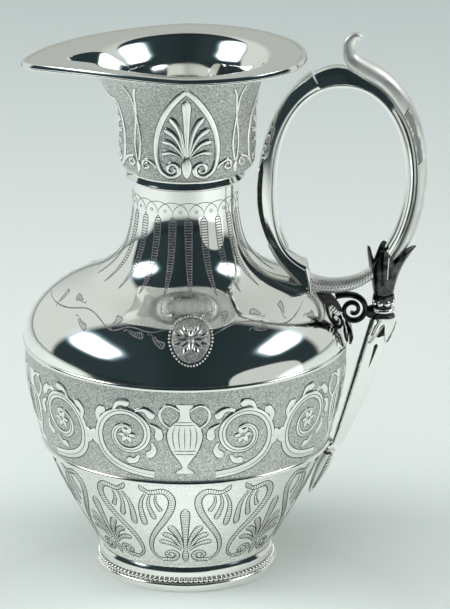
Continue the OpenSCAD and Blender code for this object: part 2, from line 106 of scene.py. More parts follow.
# Sizes of the handle
limb_t = 5.0
limb_w = 5.6
stem_t = 4.3
bow_t = 1.5
leaf_t = 3.6
leaf_w = 5.8
leaf_gap = 0.3
thumb_h = 15.6
loop_w = 42.4
loop_h = 63.1
loop_round = 0.93
loop_lean = 1.93
knop_angle = -50
knop_r = 4.5
calyx_h = 10.0
knop_bead_r = high("knop_beads", "y")
knop_x = middle("knop_beads", "x")
waist_z = low("knop_beads", "z")
calyx_z = high("knop_beads", "z")
strut_w = 7.0
strut_t = 3.8
knob_r = span("strut_knob", "x") / 2
knob_x = high("strut_knob", "x") - knob_r
knob_z = high("strut_knob", "z") - knob_r
scroll_r = 4.3


# Curves

def spline(knots, steps):
    """Points of a smooth open curve through the knots, even in curvature, with steps in each span."""
    knots = np.array(knots, float)
    count = len(knots)
    length = np.maximum(np.linalg.norm(np.diff(knots[:, :2], axis=0), axis=1), 1e-6)
    at = np.concatenate([[0], np.cumsum(length)])
    matrix = np.eye(count)
    target = np.zeros_like(knots)
    for i in range(1, count - 1):
        a, b = length[i - 1], length[i]
        matrix[i, i - 1:i + 2] = [a, 2 * (a + b), b]
        target[i] = 6 * ((knots[i + 1] - knots[i]) / b - (knots[i] - knots[i - 1]) / a)
    bend = np.linalg.solve(matrix, target)
    where = np.concatenate([np.linspace(at[i], at[i + 1], steps, endpoint=False) for i in range(count - 1)])
    where = np.append(where, at[-1])
    part = np.clip(np.searchsorted(at, where, side="right") - 1, 0, count - 2)
    h = length[part][:, None]
    p = ((at[part + 1] - where) / length[part])[:, None]
    q = 1 - p
    return (p * knots[part] + q * knots[part + 1]
            + ((p ** 3 - p) * bend[part] + (q ** 3 - q) * bend[part + 1]) * h ** 2 / 6)


def between(a, b, share):
    return a + (b - a) * share


def power(x, e):
    return np.sign(x) * np.abs(x) ** e


def ease(x):
    x = np.clip(x, 0, 1)
    return x * x * (3 - 2 * x)


def unit(rows):
    """Rows scaled to a length of one."""
    return rows / np.maximum(np.linalg.norm(rows, axis=-1, keepdims=True), 1e-9)


def rightward(step):
    """Unit vectors to the right of steps in a plane."""
    return unit(np.stack([step[..., 1], -step[..., 0]], axis=-1))


def leftward(path):
    """Unit vectors to the left of a plane path, at each of its points."""
    return -rightward(np.gradient(path, axis=0))


def lengths(path):
    """Length along a path up to each of its points."""
    return np.concatenate([[0], np.cumsum(np.linalg.norm(np.diff(path, axis=0), axis=1))])


def angles(count, closed=False):
    """Even angles round a full turn, in degrees."""
    return np.linspace(0, 360, count, endpoint=closed)


def polar(degrees, radius=1.0):
    """Offsets at angles: with one radius, one for each axis, or a column with one for each angle."""
    a = np.radians(degrees)
    return np.stack([np.cos(a), np.sin(a)], axis=-1) * np.asarray(radius)


# Meshes

def link(mesh, name, material):
    piece = bpy.data.objects.new(name, mesh)
    bpy.context.scene.collection.objects.link(piece)
    mesh.materials.append(material)
    return piece


def shade(mesh, sharp=38):
    mesh.shade_smooth()
    mesh.set_sharp_from_angle(angle=math.radians(sharp))


def mesh_of(points, faces, name, sharp=38):
    """A mesh in metres from points in millimetres, with its faces turned outwards."""
    mesh = bpy.data.meshes.new(name)
    mesh.from_pydata([tuple(c * MM for c in p) for p in points], [], faces)
    build = bmesh.new()
    build.from_mesh(mesh)
    bmesh.ops.remove_doubles(build, verts=build.verts, dist=1e-7)
    bmesh.ops.recalc_face_normals(build, faces=build.faces)
    build.to_mesh(mesh)
    build.free()
    shade(mesh, sharp)
    return mesh


def dress(mesh, node, material):
    """The finished piece that stands for a CAD node."""
    piece = link(mesh, node + "_finish", material)
    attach(piece, "root")
    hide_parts(node)


def trim(mesh, name, material):
    """An added piece of ornament that stands for no node of its own."""
    piece = link(mesh, name, material)
    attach(piece, "root")


def grid_faces(rows, columns, start=0, joined=False):
    """Quads of a grid of points, row by row; rows are closed, and the last may join the first."""
    faces = []
    for i in range(rows if joined else rows - 1):
        a, b = start + i * columns, start + (i + 1) % rows * columns
        for j in range(columns):
            n = (j + 1) % columns
            faces.append((a + j, a + n, b + n, b + j))
    return faces


def capped_faces(rows, columns, start=0):
    """Quads of a grid of points, and a cap on its first and last rows."""
    last = start + (rows - 1) * columns
    caps = [tuple(range(start, start + columns)), tuple(reversed(range(last, last + columns)))]
    return grid_faces(rows, columns, start) + caps


def sweep(rings, name, sharp=38, joined=False):
    """A skin over rings of points, with its ends capped or joined."""
    points = [p for ring in rings for p in ring]
    size = len(rings), len(rings[0])
    return mesh_of(points, grid_faces(*size, joined=True) if joined else capped_faces(*size), name, sharp)


def revolve(profile, name, segments=192, sharp=38, place=(0, 0, 0)):
    """A ring turned about an upright axis from a closed profile of radius and height."""
    turn = polar(angles(segments))
    rings = [np.column_stack([turn * r, np.full(segments, z)]) + place for r, z in profile]
    return sweep(rings, name, sharp, joined=True)


class Pile:
    """Several closed shapes that make up one mesh."""

    def __init__(self):
        self.points, self.faces = [], []

    def add(self, rings):
        """A skin over rings of points, capped at both ends."""
        self.faces += capped_faces(len(rings), len(rings[0]), len(self.points))
        self.points += [tuple(p) for ring in rings for p in ring]

    def tube(self, knots, radius, steps=6, sides=8):
        """A thin wire through points in space."""
        legs = [np.linspace(a, b, steps, endpoint=False) for a, b in zip(knots[:-1], knots[1:])]
        path = np.concatenate(legs + [[knots[-1]]])
        ahead = unit(np.gradient(path, axis=0))
        side = unit(np.cross(ahead, (0, 1, 0)))
        turn = polar(angles(sides), radius)
        frames = zip(path, np.stack([side, np.cross(ahead, side)], axis=1))
        self.add([centre + turn @ axes for centre, axes in frames])

    def ball(self, centre, radius, sides=18, tiers=10):
        turn = polar(angles(sides))
        rings = []
        for up in math.pi * np.arange(1, tiers) / tiers:
            ring = np.column_stack([math.sin(up) * turn, np.full(sides, math.cos(up))])
            rings.append(centre + radius * ring)
        self.add(rings)

    def mesh(self, name, sharp=80):
        return mesh_of(self.points, self.faces, name, sharp)

    def trim(self, name, material):
        trim(self.mesh(name), name, material)


# Outer profiles of the body, as radius and height, from shares of height and of width
bowl_shape = [(0, 0), (0.25, 0.28), (0.65, 0.71), (1, 1)]
bowl_curve = spline([(between(bowl_foot_r, bowl_top_r, k), between(bowl_z + wall, bowl_top_z, t))
                     for t, k in bowl_shape], 12)
band_curve = np.array([(between(band_bottom_r, band_top_r, 1 - (1 - t) ** 2), between(band_z, band_top_z, t))
                       for t in np.linspace(0, 1, 25)])
shoulder_shape = [(0, 1), (0.11, 0.97), (0.285, 0.82), (0.43, 0.55), (0.565, 0.255), (0.7, 0.105),
                  (0.86, 0.034), (1, 0.006)]
shoulder_curve = np.concatenate([
    spline([(between(neck_r, shoulder_r, k), between(shoulder_z, neck_z, t)) for t, k in shoulder_shape], 14),
    [(neck_r, z) for z in np.linspace(neck_z + 1.5, neck_ring_z, 5)]])


def inner(curve, t):
    """The profile moved inwards by t."""
    return curve + t * leftward(curve)


class Turned:
    """A surface of revolution, addressed by angle in degrees and length along its profile from a height."""

    def __init__(self, curve, start_z):
        self.curve = curve
        run = lengths(curve)
        self.run = run - np.interp(start_z, curve[:, 1], run)

    def radius(self, v):
        return np.interp(v, self.run, self.curve[:, 0])

    def run_at(self, z):
        return np.interp(z, self.curve[:, 1], self.run)

    def at(self, angle, v):
        r = self.radius(v)
        a = np.radians(angle)
        return np.stack([r * np.cos(a), r * np.sin(a), np.interp(v, self.run, self.curve[:, 1])], axis=-1)


# The mouth: share of the collar's height, swelling as a share of its radius, share of the way out to the rim
flare = np.array([[0, -0.11, 0], [0.012, -0.062, 0], [0.045, -0.024, 0], [0.11, -0.005, 0],
                  [0.4, 0.007, 0.005], [0.58, 0.014, 0.022], [0.745, 0.024, 0.075], [0.83, 0.029, 0.125],
                  [0.89, 0.036, 0.17], [0.93, 0.043, 0.215], [0.96, 0.057, 0.33], [0.98, 0.076, 0.55],
                  [0.992, 0.09, 0.78], [1, 0.095, 1]])
funnel = np.concatenate([flare[:7], [[0.83, 0.029, 0.12], [0.89, 0.036, 0.16], [0.935, 0.043, 0.2],
                                     [0.965, 0.052, 0.255], [0.983, 0.062, 0.34], [0.99, 0.076, 0.5],
                                     [0.995, 0.09, 0.75], [1, 0.095, 1]]])
funnel_from, funnel_to, funnel_in = 0.77, 0.975, 2.4


def rim_edge(angle):
    """Plan of the rim: round at the back and drawn out to a spout with a blunt nose in front."""
    c, s = np.cos(np.radians(angle)), np.sin(np.radians(angle))
    spout_power, nose_share, nose_power = 1.4, 0.22, 8
    spout = 1 - np.abs(c) ** spout_power
    nose = np.sqrt(1 - np.abs(c) ** nose_power)
    width = between(spout, nose, nose_share)
    x = np.where(c >= 0, mouth_back * c, mouth_spout * c)
    return np.stack([x, mouth_side * np.where(c >= 0, s, np.sign(s) * width)], axis=-1)


def rim_outward(angle):
    return rightward(rim_edge(angle + 0.5) - rim_edge(angle - 0.5))


def rim_plan(angle, inset):
    """The rim's plan, drawn in by inset."""
    return np.moveaxis(rim_edge(angle) - inset * rim_outward(angle), -1, 0)


def channel(x, y):
    """How far the spout's middle is hollowed to lead the cream out of the throat, to a sharp end."""
    tip_x, length, half_width, steep = -36.5, 17.0, 9.0, 0.62
    throat_x, fade_over = -8.0, 10.0
    half = half_width * np.clip((x - tip_x) / length, 1e-6, 1.6) ** 0.5
    fade = np.clip((throat_x - x) / fade_over, 0, 1)
    return fade * steep * half * np.clip(1 - (np.abs(y) / half) ** 1.6, 0, 1)


def rim_fall(angle):
    """How far the rim lies below its highest level."""
    c = np.cos(np.radians(angle))
    return spout_drop * np.where(c < 0, c ** 4, 0.2 * c * c)


class Mouth:
    """The mouth's outer or inner face, addressed by angle in degrees and length up the collar's middle."""

    def __init__(self, inside=0.0):
        self.inside = inside
        height, swell, way = (funnel if inside else flare).T
        out = swell * collar_r + way * mouth_reach
        self.knots = spline(np.array([out, height * collar_h, swell, way]).T, 8)
        self.run = lengths(self.knots[:, :2])

    def radius(self, v):
        return collar_r + 0 * v

    def run_at(self, height):
        return np.interp(height, self.knots[:, 1], self.run)

    def at(self, angle, v):
        height, swell, way = (np.interp(v, self.run, self.knots[:, i]) for i in (1, 2, 3))
        way = np.clip(way, 0, 1)
        narrow = funnel_in * ease((funnel_to - height / collar_h) / (funnel_to - funnel_from))
        r = collar_r * (1 + swell) - self.inside * (wall + narrow)
        a = np.radians(angle)
        x, y = rim_plan(angle, rim_w + rim_gap)
        x = between(r * np.cos(a) + collar_shift, x, way)
        y = between(r * np.sin(a), y, way)
        hollow_from, hollow_over = 0.02, 0.06
        hollow = channel(x, y) * np.clip((way - hollow_from) / hollow_over, 0, 1)
        z = collar_z + height + self.inside * wall * np.sqrt(way) - way * rim_fall(angle) - hollow
        return np.stack([x, y, z], axis=-1)


# Materials

def wire(tree, out, into):
    tree.links.new(out, into)


def settle(node, **inputs):
    """Sets a node's inputs by name, with _ in place of spaces."""
    for key, value in inputs.items():
        node.inputs[key.replace("_", " ")].default_value = value
    return node


def node_of(tree, kind, **inputs):
    return settle(tree.nodes.new(kind), **inputs)


def material_of(name, **inputs):
    material = bpy.data.materials.new(name)
    material.use_nodes = True
    tree = material.node_tree
    return material, tree, settle(tree.nodes["Principled BSDF"], **inputs)


def texture_of(tree, kind, **inputs):
    """A texture over the object's own space."""
    texture = node_of(tree, kind, **inputs)
    wire(tree, tree.nodes.new("ShaderNodeTexCoord").outputs["Object"], texture.inputs["Vector"])
    return texture


def noise_of(tree, **inputs):
    return texture_of(tree, "ShaderNodeTexNoise", **inputs).outputs["Fac"]


def ramp(tree, source, stops, into):
    """Leads a value into a socket over a colour ramp, whose stops are greys or colours."""
    colours = tree.nodes.new("ShaderNodeValToRGB")
    wire(tree, source, colours.inputs["Fac"])
    while len(colours.color_ramp.elements) < len(stops):
        colours.color_ramp.elements.new(0.5)
    for element, (place, value) in zip(colours.color_ramp.elements, stops):
        element.position = place
        element.color = (*value, 1) if isinstance(value, tuple) else (value, value, value, 1)
    wire(tree, colours.outputs["Color"], into)


def bump(tree, shader, source, strength, distance):
    dent = node_of(tree, "ShaderNodeBump", Strength=strength, Distance=distance)
    wire(tree, source, dent.inputs["Height"])
    wire(tree, dent.outputs["Normal"], shader.inputs["Normal"])


SILVER = (0.95, 0.94, 0.91, 1)


def polished_silver(name, rough):
    """Bright silver with faint polishing haze and the slight unevenness of hand-raised sheet."""
    material, tree, shader = material_of(name, Base_Color=SILVER, Metallic=1.0)
    haze = noise_of(tree, Scale=140.0, Detail=4.0, Roughness=0.6)
    ramp(tree, haze, [(0.35, rough), (0.75, rough * 2.2)], shader.inputs["Roughness"])
    bump(tree, shader, noise_of(tree, Scale=38.0, Detail=1.0), 0.05, 0.001)
    return material


def satin_silver():
    """Pale satin ground with a fine even grain."""
    material, tree, shader = material_of("satin_silver", Base_Color=SILVER, Metallic=1.0)
    grain = noise_of(tree, Scale=2400.0, Detail=2.0)
    ramp(tree, grain, [(0.3, 0.2), (0.7, 0.34)], shader.inputs["Roughness"])
    bump(tree, shader, grain, 0.12, 0.0002)
    return material


def stippled_silver():
    """Ground punched all over with tiny dots and darkened between them."""
    material, tree, shader = material_of("stippled_silver", Metallic=1.0)
    dots = texture_of(tree, "ShaderNodeTexVoronoi", Scale=3300.0, Randomness=1.0)
    tones = [(0.1, (0.34, 0.34, 0.33)), (0.55, (0.65, 0.65, 0.63)), (0.9, (0.93, 0.92, 0.89))]
    ramp(tree, dots.outputs["Color"], tones, shader.inputs["Base Color"])
    cloud = noise_of(tree, Scale=1500.0, Detail=2.0)
    ramp(tree, cloud, [(0.3, 0.3), (0.7, 0.5)], shader.inputs["Roughness"])
    bump(tree, shader, dots.outputs["Distance"], 0.5, 0.0003)
    return material


def clouded(name, scale, detail, tones, **inputs):
    """A dark surface whose grey changes softly from place to place."""
    material, tree, shader = material_of(name, **inputs)
    ramp(tree, noise_of(tree, Scale=scale, Detail=detail), tones, shader.inputs["Base Color"])
    return material


def engraved(name, deep, shallow):
    """The dull bottom of an engraved line, between two greys; the darker one also paints shade on a few
    pieces.
    """
    tones = [(0.3, deep), (0.75, shallow)]
    return clouded(name, 900.0, 2.0, tones, Specular_IOR_Level=0.1, Roughness=0.7)


def painted_dark_silver(name, deep, pale):
    """Silver painted dark on the handle's fittings, as painted reflection of the dark room in front, between
    two greys.
    """
    return clouded(name, 420.0, 3.0, [(0.38, deep), (0.68, pale)], Metallic=1.0, Roughness=0.18)


POLISHED = polished_silver("polished_silver", 0.045)
SATIN = satin_silver()
STIPPLED = stippled_silver()
# The darker line material serves engraving and painted shade: under the boss, below the skirt and on the
# handle's root plate
LINE_AND_SHADE = engraved("engraved_line_and_painted_shade", 0.02, 0.08)
SCRATCH = engraved("fine_engraving", 0.12, 0.3)
BRIGHT = polished_silver("bright_relief", 0.16)
SOFT = polished_silver("soft_silver", 0.36)
# Dark and near black silver: painted reflection of the dark room in front, and on the scroll painted shade as
# well
PAINTED_DARK = painted_dark_silver("silver_painted_dark", 0.02, 0.13)
PAINTED_BLACK = painted_dark_silver("silver_painted_black", 0.008, 0.05)


# Body

def turned_piece(profile, node, material, segments=192, sharp=38):
    dress(revolve(profile, node, segments, sharp), node, material)


def shell(curve, node, material):
    """A raised sheet of even thickness."""
    inside = inner(curve, wall)[::-1]
    inside[:, 1] = np.clip(inside[:, 1], curve[0, 1], curve[-1, 1])
    turned_piece(list(curve) + list(inside), node, material, 256)


def half_round_ring(node, inside_r, z0, z1):
    """A ring with a half round front."""
    r = (z1 - z0) / 2
    front = np.array([high(node, "x") - r, z0 + r]) + polar(np.linspace(-90, 90, 13), r)
    turned_piece([(inside_r, z0), *front, (inside_r, z1)], node, POLISHED)


def build_body():
    """The turned pieces from the foot up to the ring under the collar."""
    edge = [(-0.4, 0), (-0.1, 0.12), (0, 0.4), (0, 1.2), (-0.02, 2.1), (-0.1, 2.4), (-0.35, foot_ring_h)]
    foot = [(foot_inner_r, 0)] + [(foot_r + d, z) for d, z in edge] + [(foot_inner_r, foot_ring_h)]
    turned_piece(foot, "foot_ring", POLISHED)

    ring_r = bowl_foot_r + 0.75
    cove_z = bead_z + bead_r
    cove = [(foot_inner_r, foot_ring_h), (bead_ring_r + 0.3, foot_ring_h), (bead_ring_r - 0.7, cove_z),
            (ring_r - 0.12, cove_z + 0.1), (ring_r, cove_z + 0.3), (ring_r, bowl_z - 0.35),
            (ring_r - 0.1, bowl_z - 0.1), (bowl_foot_r + 0.05, bowl_z + 0.8),
            (bowl_foot_r - 0.4, bowl_z + 0.2), (foot_inner_r, bowl_z)]
    turned_piece(cove, "foot_cove", POLISHED, sharp=24)

    floor_z, axis_r = bowl_z + wall, 0.01
    outside = [(axis_r, bowl_z), (bowl_foot_r - wall, bowl_z), (bowl_foot_r - 0.3, bowl_z + 0.3), *bowl_curve]
    inside = [*inner(bowl_curve, wall)[::-1][:-2], (bowl_foot_r - 2 * wall, floor_z), (axis_r, floor_z)]
    turned_piece(outside + inside, "lower_bowl", SATIN, 256)
    half_round_ring("lower_band_moulding", bowl_top_r - wall, bowl_top_z, band_z)
    shell(band_curve, "frieze_band", STIPPLED)
    half_round_ring("upper_band_moulding", band_top_r - wall, band_top_z, shoulder_z)
    shell(shoulder_curve, "shoulder_and_neck", POLISHED)

    steps = [(-0.9, 0), (-0.25, 0.07), (-0.03, 0.16), (0, 0.22), (-0.12, 0.3), (-1.0, 0.68), (-1.0, 0.71),
             (-0.55, 0.74), (-0.22, 0.82), (-0.18, 0.9), (-0.4, 1)]
    front = [(neck_ring_r + d, between(neck_ring_z, collar_z, t)) for d, t in steps]
    turned_piece([(neck_r - wall, neck_ring_z), *front, (neck_r - wall, collar_z)], "neck_ring", POLISHED)


def build_beads():
    """One round bead after another above the foot."""
    beads = Pile()
    for angle in angles(108):
        beads.ball((*polar(angle, bead_ring_r), bead_z), bead_r, 14, 9)
    dress(beads.mesh("foot_bead_wire"), "foot_bead_wire", POLISHED)


def build_mouth():
    """The collar and the flaring mouth, stippled outside and polished inside."""
    angle = angles(420)
    rows = []
    for face, order in [(Mouth(), 1), (Mouth(1.0), -1)]:
        rows += [face.at(angle, np.full(len(angle), v)) for v in face.run[::order]]
    mesh = sweep(rows, "mouthpiece", joined=True)
    dress(mesh, "mouthpiece", STIPPLED)
    mesh.materials.append(POLISHED)
    for face in mesh.polygons:
        inward = face.normal.x * face.center.x + face.normal.y * face.center.y < 0
        if inward or face.normal.z > 0.5:
            face.material_index = 1


def build_rim():
    """A thick wire along the edge of the mouth, with a fine groove low on its outside."""
    section = [(-1, 0.37), (-0.5, 0.4), (0.2, 0.4), (0.52, 0.37), (0.64, 0.28), (1, -0.38), (0.9, -0.46),
               (0.86, -0.52), (0.95, -0.62), (0.97, -0.74), (0.8, -0.92), (0.3, -1), (-0.5, -0.95),
               (-1, -0.6)]
    rings = []
    for a in angles(240):
        x, y = rim_plan(a, rim_w / 2)
        out = rim_outward(a) * rim_w / 2
        z = rim_z + wall / 2 - rim_fall(a)
        rings.append([(x + out[0] * u, y + out[1] * u, z + rim_h / 2 * w) for u, w in section])
    dress(sweep(rings, "rim_wire", 50, joined=True), "rim_wire", POLISHED)


# Ornament

class Ornament:
    """Raised shapes and engraved lines on one surface, drawn in millimetres about a place on it."""

    def __init__(self, skin, angle=FRONT, up=0.0):
        self.skin = skin
        self.angle = angle
        self.up = up
        self.side = 1
        self.raised, self.lines = Pile(), Pile()

    def put(self, path, lift):
        """Points on the surface, lifted off it."""
        v = path[:, 1] + self.up
        angle = self.angle + np.degrees(self.side * path[:, 0] / self.skin.radius(v))
        around, along = 0.05, 0.02
        across = self.skin.at(angle + around, v) - self.skin.at(angle - around, v)
        upward = self.skin.at(angle, v + along) - self.skin.at(angle, v - along)
        return self.skin.at(angle, v) + unit(np.cross(across, upward)) * lift

    def strip(self, pile, path, half, section):
        """A closed strip along a path: section lists its points as share of the half width and lift."""
        path = np.array(path, float)
        side = leftward(path)
        columns = [self.put(path + side * (half * share)[:, None], lift) for share, lift in section]
        pile.add(np.stack(columns, axis=1))

    def line(self, path, width=0.26, taper=True, lift=0.0, sunk=0.03):
        """One engraved line; a wide one below the skirt is painted shadow."""
        share = np.linspace(0, 1, len(path))
        full = np.clip(np.minimum(share, 1 - share) * 6, 0.3, 1) if taper else np.ones(len(path))
        top, foot = lift + 0.04, lift - sunk
        self.strip(self.lines, path, width / 2 * full, [(-1, foot), (-0.8, top), (0.8, top), (1, foot)])

    def band(self, path, half, height=0.22, outline=0.24, hatch=0.0, hatch_w=0.14, core=0.0):
        """A raised band with a half width along its path, engraved edges or core, and hatching across it."""
        path = np.array(path, float)
        half = np.maximum(np.broadcast_to(np.array(half, float), len(path)), 0.03)
        if height:
            slope = 0.7 * height
            section = [(-1, -0.05), (-0.8, slope), (0, height), (0.8, slope), (1, -0.05)]
            self.strip(self.raised, path, half, section)
        side = leftward(path) * half[:, None]
        if outline:
            for way in (-1, 1):
                self.line(path + way * side, outline, taper=False)
        if core:
            self.line(path, core, lift=height)
        if hatch:
            run = lengths(path)
            for at in np.arange(hatch, run[-1] - hatch / 2, hatch):
                centre = np.array([np.interp(at, run, path[:, k]) for k in (0, 1)])
                reach = np.array([np.interp(at, run, side[:, k]) for k in (0, 1)]) * 0.86
                ends = np.array([centre - reach, centre, centre + reach])
                self.line(ends, hatch_w, taper=False, lift=1.05 * height, sunk=0.05)

    def leaf(self, knots, half, shape="club", **look):
        """A leaf along a curve: club is broad and round at its tip, lens is pointed at both ends."""
        path = spline(knots, 8) if len(knots) > 2 else np.linspace(knots[0], knots[1], 17)
        t = np.linspace(0, 1, len(path))
        if shape == "club":
            width = (0.28 + 0.72 * t ** 1.3) * np.sqrt(np.clip(1 - np.clip((t - 0.8) / 0.2, 0, 1) ** 2, 0, 1))
        else:
            width = np.sin(math.pi * t ** 0.85) ** 0.8
        self.band(path, half * width, **look)

    def spiral(self, centre, start, turns, r0, r1, half0, half1, lead=(), **look):
        """A band that may lead in from elsewhere and winds inwards: start in degrees, turns signed."""
        t = np.linspace(0, 1, int(abs(turns) * 26) + 2)
        coil = centre + polar(start + 360 * turns * t, between(r0, r1, t ** 0.8)[:, None])
        path = spline(list(lead) + list(coil[::3]), 4)
        self.band(path, np.linspace(half0, half1, len(path)), **look)

    def oval(self, centre, reach, width, points):
        """An engraved line round a circle or an oval."""
        self.line(centre + polar(angles(points, closed=True), reach), width, taper=False)

    def dome(self, centre, reach, steps, sides):
        """A raised round or oval: steps list its rings as share of its reach and lift."""
        edge = polar(angles(sides), reach)
        self.raised.add([self.put(centre + share * edge, lift) for share, lift in steps])

    def dot(self, centre, radius, height):
        """A small round bead."""
        self.dome(centre, radius, [(1, -0.05), (0.85, 0.55 * height), (0.5, 0.9 * height)], 10)

    def plate(self, centre, reach, height):
        """A thin oval plate with a rounded edge."""
        flat = [(share, height) for share in (0.96, 0.7, 0.4, 0.05)]
        self.dome(centre, reach, [(1, -0.05), (0.99, 0.8 * height)] + flat, 56)

    def mirrored(self, draw):
        """Draws a half motif and its mirror image."""
        for side in (1, -1):
            self.side = side
            draw()
        self.side = 1

    def on_faces(self, draw):
        """Draws on the front and on the back of a bar."""
        for side, angle in [(1, 90), (-1, 270)]:
            self.side, self.angle = side, angle
            draw()

    def finish(self, name, material=BRIGHT, line_material=LINE_AND_SHADE):
        for pile, kind, look in [(self.raised, "relief", material), (self.lines, "engraving", line_material)]:
            if pile.points:
                trim(pile.mesh(name + "_" + kind, 60), name + "_" + kind, look)


def collar_ornament():
    """Four pointed arches with palmettes in them, and slender balusters between the arches."""
    skin = Mouth()
    art = Ornament(skin, up=skin.run_at(0))
    arch = spline([(0, 31.0), (2.2, 28.8), (4.5, 25.8), (7.2, 21.4), (9.0, 16.8), (9.7, 12.4), (9.3, 7.8),
                   (8.0, 4.7), (6.2, 3.2)], 6)
    palmette = [([(0.7, 10), (1.5, 15.4), (3.0, 19.6), (5.0, 22.2)], 1.25),
                ([(0.8, 9.8), (2.2, 13.8), (4.2, 16.8), (7.0, 18.4)], 1.3),
                ([(0.9, 9.5), (2.8, 12.2), (5.0, 14.0), (7.8, 14.4)], 1.2),
                ([(1.0, 9.2), (3.2, 10.4), (5.4, 11.0), (7.7, 10.3)], 1.1)]
    baluster = spline([(2.3, 30.6), (1.1, 28.6), (0.5, 25.4), (0, 21.6), (-0.6, 18), (-1.15, 14), (-0.9, 10),
                       (-0.3, 7)], 5)

    def half_panel():
        art.band(arch, np.linspace(0.95, 0.8, len(arch)))
        art.spiral((4.6, 5.6), -75, -1.45, 2.8, 0.55, 0.9, 0.4, lead=[(6.6, 3.2)])
        art.spiral((13.3, 6.0), 140, -1.3, 2.0, 0.5, 0.6, 0.35, lead=[(9.6, 5.6), (10.8, 6.9)])
        for knots, half in palmette:
            art.leaf(knots, half)

    for turn in angles(4):
        art.angle = FRONT + turn
        art.mirrored(half_panel)
        art.leaf([(0, 9.6), (0, 28.4)], 1.6)
        art.leaf([(0, 9.8), (0, 2.0)], 1.6, "lens")
        art.angle += 45
        art.mirrored(lambda: art.band(baluster, 0.46, height=0.2, outline=0.2))
        art.leaf([(0, 7.2), (0, 2.6)], 1.0, "lens")
    art.finish("collar")


def neck_ornament():
    """Interlaced arches with small rings, and long hatched leaves that hang down onto the shoulder."""
    skin = Turned(shoulder_curve, neck_ring_z)
    art = Ornament(skin)
    count, offset, half_width = 21, 3.7, 1.3
    pitch = 2 * math.pi * neck_r / count
    arch_top, arch_foot, ring_v = -4.0, -8.2, -6.9
    leaf_top, leaf_tip = skin.run_at(118.8), skin.run_at(96.6)
    a = np.linspace(0, math.pi, 21)
    arch = np.stack([-pitch * np.cos(a), between(arch_foot, arch_top, np.sin(a) ** 0.9)], axis=1)
    t = np.linspace(0, 1, 25)
    width = half_width * (1 - t) ** 0.8 * np.sqrt(np.clip(t / 0.07, 0, 1)) * 2.0 ** (t - 0.2)
    leaf = np.stack([0 * t, between(leaf_top, leaf_tip, t)], axis=1)
    for turn in angles(count):
        art.angle = FRONT + offset + turn
        art.line(arch)
        art.oval((pitch / 2, ring_v), 0.42, 0.22, 19)
        art.band(leaf, width, height=0, outline=0.28, hatch=0.85, hatch_w=0.38)
    art.finish("neck", line_material=SCRATCH)


def shoulder_place(skin, turn, z):
    """Place on the shoulder at a turn from the front and a height."""
    v = skin.run_at(z)
    return np.array([math.radians(turn) * skin.radius(v), v])


def vine_ornament():
    """A leafy vine around the shoulder, from places given as turn, height and lean."""
    skin = Turned(shoulder_curve, shoulder_z)
    art = Ornament(skin)
    left = [(-94, 88.9), (-74, 89.4), (-60, 90.6), (-51, 91.5), (-42, 90.6), (-32, 88.8), (-25, 90.1),
            (-15, 89.5), (-9, 90.2)]
    right = [(12, 89.0), (16, 89.9), (24, 91), (34, 90.7), (42, 89.2), (51, 89), (58, 89.8), (70, 90.9)]
    leaves = [(-75, 90, 40), (-60, 92.2, 150), (-52, 89.3, -60), (-33, 89.9, 30), (-24, 89.2, -40),
              (-13, 88.5, -70), (18, 91.5, 60), (31, 89.4, -30), (38, 91.6, 120), (50, 90.6, 70),
              (62, 88.6, -40)]
    for half in (0, 180):
        art.angle = FRONT + half
        for side in (left, right):
            art.line(spline([shoulder_place(skin, *p) for p in side], 10), 0.5)
        for turn, z, lean in leaves:
            root = shoulder_place(skin, turn, z)
            way, bend = polar(lean), polar(lean + 90)
            blade = [root, root + 2.2 * way + 0.6 * bend, root + 4.0 * way + 2.2 * bend]
            art.leaf(blade, 1.4, height=0, outline=0.36, hatch=0.7, hatch_w=0.3)
            art.line(spline([root, root - 1.2 * way - 0.6 * bend, root - 1.2 * way - 1.6 * bend], 6), 0.34)
    art.finish("vine", line_material=SCRATCH)


def medallion():
    """An oval medallion on the shoulder's front, with a beaded edge and a rosette."""
    skin = Turned(shoulder_curve, shoulder_z)
    half_u, top, bottom = 6.6, skin.run_at(92.9), skin.run_at(81.7)
    reach = np.array([half_u, (top - bottom) / 2])
    centre = np.array([shoulder_place(skin, 2.5, 87.7)[0], (top + bottom) / 2])
    ground = Ornament(skin)
    ground.plate(centre, 0.9 * reach, 0.15)
    ground.finish("medallion_ground", STIPPLED)
    badge = Ornament(skin)
    for place in centre + polar(angles(44), reach):
        badge.dot(place, 0.36, 0.5)
    for share in (0.9, 0.74):
        badge.oval(centre, share * reach, 0.3, 61)
    for k, way in enumerate(polar(angles(16))):
        start, tip = (0.6, 4.8) if k % 2 == 0 else (3.0, 5.8)
        badge.leaf([centre + start * way, centre + tip * way], 0.8, "lens", height=0.4)
    badge.finish("medallion")


